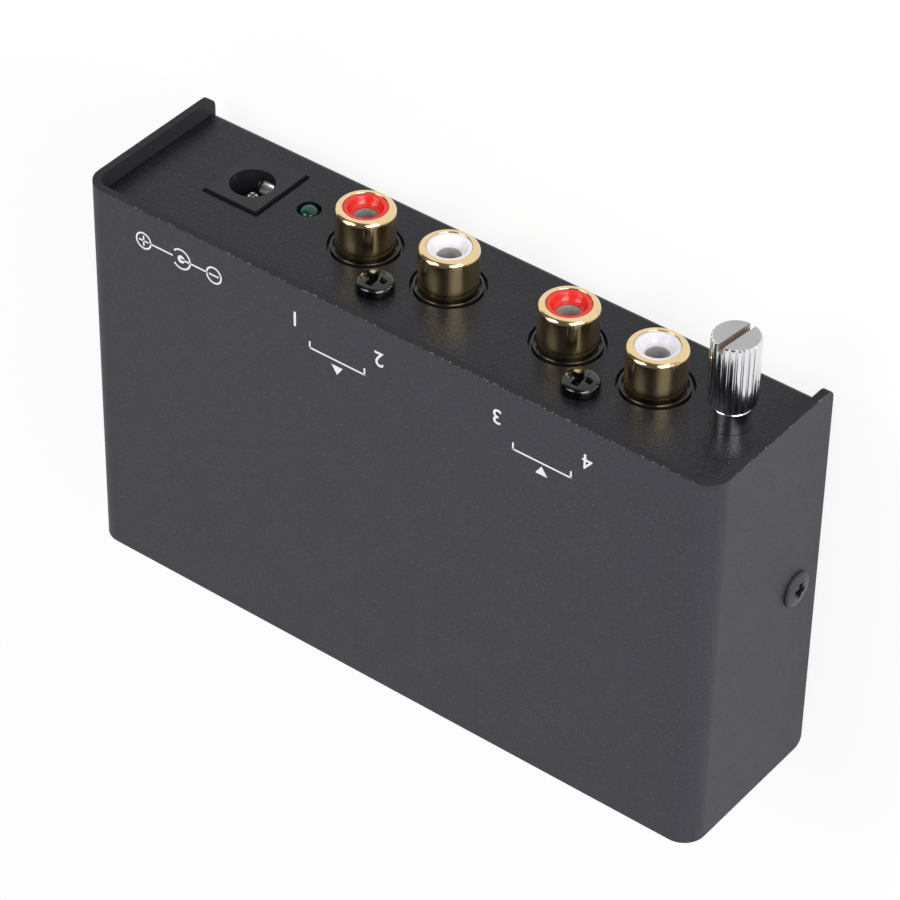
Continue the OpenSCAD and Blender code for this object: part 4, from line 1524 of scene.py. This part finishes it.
@dataclass
class GroundTerminal:
    """The clinched standoff, the captive washer and the knurled thumb screw."""

    x: float = -44.0
    z: float = 11.4
    collar_len: float = 3.3
    collar_r: float = 2.69
    collar_edge: float = 0.36
    bore_r: float = 1.5
    bore_end: float = -3.4
    insert_end: float = -4.2
    insert_r: float = 2.3
    flange_r: float = 3.2
    flange_from: float = -1.72
    flange_to: float = -1.02
    washer_r: float = 2.85
    washer_thick: float = 0.5
    washer_edge: float = 0.24
    head_seat: float = 3.84
    reach: float = 14.0
    head_r: float = 3.3
    chamfer: float = 0.2
    shank_r: float = 1.45
    shank_end: float = -2.6
    ridges: int = 24
    ridge_h: float = 0.26
    ridge_sharpness: float = 5.0
    slot_w: float = 0.9
    slot_deep: float = 1.1
    slot_tilt: float = 6.0

    def build(self, shop: Workshop) -> None:
        """Builds and dresses the three pieces, each on its own body.

        Args:
            shop: The shared tools.
        """
        place = row_matrix(self.x, PANEL_Y, self.z, out_of_panel())
        for name, profile, body, node in (
            ("ground_standoff_dressed", self.collar(), Body.ENCLOSURE, "ground_standoff"),
            ("clamp_washer_dressed", self.washer(), Body.WASHER, "clamp_washer"),
        ):
            piece = lathe(name, profile, 96, closed=profile[0][0] > 0)
            piece.data.transform(place)
            piece.data.materials.append(NICKEL.material())
            shop.hand_over(piece, body, [node])
        screw = self.thumb_screw(shop)
        screw.data.transform(place)
        shop.hand_over(screw, Body.THUMB_SCREW, ["thumb_screw"])

    def collar(self) -> list[Point]:
        """Gives the profile of the standoff with its clinched flange.

        Returns:
            Points as (radius, height), in mm.
        """
        r, top, edge, corner = self.collar_r, self.collar_len, self.collar_edge, 0.1
        return [
            (0.0, self.insert_end), (self.insert_r - corner, self.insert_end),
            (self.insert_r, self.insert_end + corner), (self.insert_r, self.flange_from),
            (self.flange_r - corner, self.flange_from), (self.flange_r, self.flange_from + corner),
            (self.flange_r, self.flange_to), (r, self.flange_to), (r, 0.0), (r, top - edge - corner),
            *arc(r - edge, top - edge, edge, 0, 90, 10), (self.bore_r + 0.2, top), (self.bore_r, top - 0.2),
            (self.bore_r, self.bore_end), (0.0, self.bore_end),
        ]

    def washer(self) -> list[Point]:
        """Gives the profile of the washer.

        Returns:
            Points as (radius, height), in mm.
        """
        low, edge = self.collar_len + FIT_GAP, self.washer_edge
        high = low + self.washer_thick
        return [(self.bore_r, low), *arc(self.washer_r - edge, (low + high) / 2, edge, -80, 80, 8),
                (self.bore_r, high)]

    def thumb_screw(self, shop: Workshop) -> bpy.types.Object:
        """Turns, knurls and slots the head, and threads the shank.

        Args:
            shop: The shared tools.

        Returns:
            The thumb screw, in mm.
        """
        r, low, top, c = self.head_r, self.head_seat, self.reach, self.chamfer
        rows = [low + c, low + c + 0.06, low + 1.0, (low + top) / 2, top - 1.0, top - c - 0.06, top - c]
        profile = [(0.0, low), (r - c - 0.04, low), (r - c, low + 0.03)] + [(r, h) for h in rows]
        profile += [(r - c, top - 0.03), (r - c - 0.05, top), (0.0, top)]
        blank = lathe("thumb_head", profile, self.ridges * 20)
        head = shop.knurl.run(blank, "thumb_head", NICKEL, {
            "Ridges": float(self.ridges), "Sharpness": self.ridge_sharpness,
            "Crest": r, "Depth": self.ridge_h,
        })
        head.data.materials.append(FACED_NICKEL.material())
        for face in head.data.polygons:
            face.material_index = int(face.center.z > top - 0.01)
        half, clear = self.slot_w / 2, r + 1.7
        slot = block("slot", (-half, -clear, top - self.slot_deep), (half, clear, top + 1.0), 0.02)
        slot.data.transform(Matrix.Rotation(math.radians(-self.slot_tilt), 4, "Z"))
        # The slot's cut walls take this painted shade.
        slot.data.materials.append(SLOT_SHADE.material())
        head = cut(head, [slot])
        shank = shop.threads.shank("thumb_shank", self.shank_r, low + 0.1, self.shank_end, NICKEL)
        return joined("thumb_screw_dressed", [head, shank])


@dataclass
class CircuitBoard:
    """The board with its fixings and every part soldered on it."""

    fixing_x: float = 43.5
    fixing_y: float = 11.0
    top: float = 4.0
    thick: float = 1.6
    pad_r: float = 0.58
    lead_r: float = 0.34
    grid: float = 2.54
    chips_x: tuple[float, ...] = (10, -16)
    chips_y: float = -6
    chip_half: float = 3.81
    resistor_y: float = 14
    resistor_half: float = 4.5
    copies: tuple[tuple[str, Finish, str, float], ...] = (
        ("circuit_board", BOARD, "board", 0.05), ("board_standoffs", TIN, "tin_plate", 0.08),
        ("amplifier_chips", EPOXY, "chip_epoxy", 0.15), ("chip_legs", TIN, "tin_plate", 0.03),
        ("filter_capacitors", SLEEVE, "can_sleeve", 0.3), ("coupling_capacitors", SLEEVE, "can_sleeve", 0.25),
        ("film_capacitors", FILM, "film_case", 0.22), ("ceramic_capacitors", DIPPED, "ceramic_coat", 0.8),
        ("capacitor_leads", TIN, "tin_plate", 0.03), ("resistors", LACQUER, "resistor_lacquer", 0.2),
        ("resistor_leads", TIN, "tin_plate", 0.03), ("voltage_regulator", EPOXY, "chip_epoxy", 0.12),
        ("regulator_legs", TIN, "tin_plate", 0.03), ("polarity_diode", DIODE_EPOXY, "chip_epoxy", 0.15),
        ("diode_leads", TIN, "tin_plate", 0.03),
    )

    def build(self, shop: Workshop) -> None:
        """Builds and dresses every piece of the board.

        Args:
            shop: The shared tools.
        """
        for copy in self.copies:
            shop.dress_copy(*copy)
        screw = CrossScrew(head_r=2.75, head_h=1.9, crown=0.7, shank_len=3.6, recess_span=2.8,
                           recess_deep=1.2, finish=NICKEL).build("board_screw", shop.threads)
        spots = [(x, y, self.top + FIT_GAP) for x in (-self.fixing_x, self.fixing_x)
                 for y in (-self.fixing_y, self.fixing_y)]
        piece = shop.repeat.spread("board_screws_dressed", screw, spots, Matrix.Identity(4), NICKEL)
        shop.hand_over(piece, Body.ENCLOSURE, ["board_screws"])
        self.solder(shop)

    def lead_spots(self) -> list[Point]:
        """Gives the places of the leads that go through the board, from the layout of its parts.

        Returns:
            Places as (x, y), in mm.
        """
        spots = [(cx + (i - 1.5) * self.grid, self.chips_y + row * self.chip_half)
                 for cx in self.chips_x for i in range(4) for row in (-1, 1)]
        filters, couplings = [(37, -6), (37, 4)], [(-3, -6), (-29, -6), (23.5, -9), (23.5, -1.5)]
        films = [(-36 + 8.4 * i, 5) for i in range(8)]
        ceramics = [(x, -13) for x in (4, 16, -22, -10)]
        for centres, half in ((filters, 1.75), (couplings, 1.25), (films, 2.5), (ceramics, self.grid / 2)):
            spots += [(x + side * half, y) for x, y in centres for side in (-1, 1)]
        resistors = [(-37.5 + 5 * i, self.resistor_y) for i in range(16)]
        for x, y in (*resistors, (30, 0.5)):
            spots += [(x, y + side * self.resistor_half) for side in (-1, 1)]
        return spots + [(27.5 + i * self.grid / 2, -14.5) for i in (-1, 0, 1)]

    def solder(self, shop: Workshop) -> None:
        """Draws a small solder cone round each lead, on the underside of the board.

        Args:
            shop: The shared tools.
        """
        profile = [(self.lead_r, 0.0), (self.pad_r, 0.0), (self.pad_r, -0.05), (0.46, -0.24), (0.38, -0.5),
                   (self.lead_r, -0.7)]
        cone = lathe("solder", profile, 14, closed=True)
        spots = [(x, y, self.top - self.thick - 0.01) for x, y in self.lead_spots()]
        piece = shop.repeat.spread("solder_joints", cone, spots, Matrix.Identity(4), SOLDER)
        shop.hand_over(piece, Body.ENCLOSURE, ())


# ---------------------------------------------------------------- studio


@dataclass(frozen=True)
class Softbox:
    """A large soft light that looks at the object."""

    name: str
    place: tuple[float, float, float]
    width: float
    height: float
    watts: float


@dataclass
class Studio:
    """Camera, pale floor and soft lights of the photograph, in metres."""

    place: tuple[float, float, float] = (-0.262942, -0.359193, 0.365254)
    right: tuple[float, float, float] = (-0.79219, -0.01580, -0.61008)
    up: tuple[float, float, float] = (0.39902, -0.76979, -0.49820)
    back: tuple[float, float, float] = (-0.46176, -0.63810, 0.61612)
    lens_mm: float = 167.843
    sensor_mm: float = 36.0
    floor_m: float = 4.0
    floor_drop: float = 0.0002
    paper: str = "#fafafa"
    paper_white: float = 0.88
    wall_top: float = 0.11
    ceiling: float = 0.24
    dim: float = 0.12
    behind_from: float = 0.2
    behind_to: float = 0.45
    fill: float = 0.35
    aim: tuple[float, float, float] = (0.0, 0.0, 0.014)
    softboxes: tuple[Softbox, ...] = (
        Softbox("right_softbox", (-0.80, -0.48, 0.43), 0.55, 0.68, 8.5),
        Softbox("left_softbox", (0.38, -0.38, 0.86), 0.76, 0.44, 5.4),
    )

    def build(self) -> None:
        """Sets up everything that isn't part of the object."""
        bpy.context.scene.view_settings.view_transform = "Standard"
        self.camera()
        self.floor()
        self.world()
        for softbox in self.softboxes:
            self.lamp(softbox)

    def camera(self) -> None:
        """Puts the camera where the photograph was taken from, with its roll."""
        data = bpy.data.cameras.new("camera")
        data.lens, data.sensor_width = self.lens_mm, self.sensor_mm
        data.clip_start, data.clip_end = 0.01, 20.0
        camera = bpy.data.objects.new("camera", data)
        bpy.context.scene.collection.objects.link(camera)
        axes = Matrix((self.right, self.up, self.back)).transposed().to_4x4()
        camera.matrix_world = Matrix.Translation(self.place) @ axes
        bpy.context.scene.camera = camera

    def seen(self, tree: bpy.types.NodeTree) -> bpy.types.Node:
        """Picks the rays that show the background: seen directly, mirrored, or through glass.

        Args:
            tree: The material's or the world's tree.

        Returns:
            The node that gives 1 for such a ray.
        """
        rays = add_node(tree, "ShaderNodeLightPath").outputs
        bent = add_node(tree, MATH, {0: rays["Is Glossy Ray"], 1: rays["Is Transmission Ray"]},
                        operation="MAXIMUM")
        return add_node(tree, MATH, {0: rays["Is Camera Ray"], 1: bent}, operation="MAXIMUM")

    def floor(self) -> None:
        """Lays the pale floor just under the feet. It looks white and keeps the object's shadow."""
        half = self.floor_m / 2
        corners = ((-half, -half), (half, -half), (half, half), (-half, half))
        mesh = bpy.data.meshes.new("floor")
        mesh.from_pydata([(x, y, -self.floor_drop) for x, y in corners], [], [(0, 1, 2, 3)])
        floor = mesh_object("floor", mesh)
        material = bpy.data.materials.new("pale_paper")
        material.use_nodes = True
        tree = material.node_tree
        tree.nodes.clear()
        paper = add_node(tree, "ShaderNodeBsdfDiffuse", {"Color": linear(self.paper)})
        white = add_node(tree, "ShaderNodeEmission", {"Color": (1, 1, 1, 1), "Strength": 1.0})
        share = add_node(tree, MATH, {0: self.seen(tree), 1: self.paper_white}, operation="MULTIPLY")
        mixed = add_node(tree, "ShaderNodeMixShader", {0: share, 1: paper, 2: white})
        add_node(tree, "ShaderNodeOutputMaterial", {0: mixed})
        floor.data.materials.append(material)

    def world(self) -> None:
        """Fills the room with even light, and shows white all round but over the connector panel."""
        world = bpy.data.worlds.new("studio")
        world.use_nodes = True
        tree = world.node_tree
        tree.nodes.clear()
        way = add_node(tree, "ShaderNodeTexCoord").outputs["Generated"]
        axes = add_node(tree, AXES, {0: way}).outputs
        wall = add_node(tree, RANGE, {0: axes[2], 1: self.wall_top, 2: self.ceiling, 3: 1.0, 4: self.dim})
        behind = add_node(tree, RANGE, {0: axes[1], 1: self.behind_from, 2: self.behind_to, 3: 0.0, 4: 1.0})
        room = add_node(tree, MATH, {0: wall, 1: behind}, operation="MAXIMUM")
        strength = add_node(tree, RANGE, {0: self.seen(tree), 1: 0.0, 2: 1.0, 3: self.fill, 4: room})
        sky = add_node(tree, "ShaderNodeBackground", {"Color": (1, 1, 1, 1), "Strength": strength})
        add_node(tree, "ShaderNodeOutputWorld", {0: sky})
        bpy.context.scene.world = world

    def lamp(self, softbox: Softbox) -> None:
        """Hangs a softbox and turns it to the object.

        Args:
            softbox: The light.
        """
        data = bpy.data.lights.new(softbox.name, "AREA")
        data.shape = "RECTANGLE"
        data.energy, data.size, data.size_y = softbox.watts, softbox.width, softbox.height
        lamp = bpy.data.objects.new(softbox.name, data)
        bpy.context.scene.collection.objects.link(lamp)
        way = (Vector(self.aim) - Vector(softbox.place)).to_track_quat("-Z", "Y")
        lamp.matrix_world = Matrix.Translation(softbox.place) @ way.to_matrix().to_4x4()


def main() -> None:
    """Builds the part and its studio."""
    logging.basicConfig(level=logging.INFO, format="%(name)s: %(message)s")
    Studio().build()
    shop = Workshop()
    for assembly in (Enclosure(), Legends(), PhonoJacks(), PowerEntry(), GroundTerminal(), CircuitBoard()):
        assembly.build(shop)
    LOG.info("%d pieces finished", len(shop.done))


if __name__ == "__main__":
    main()
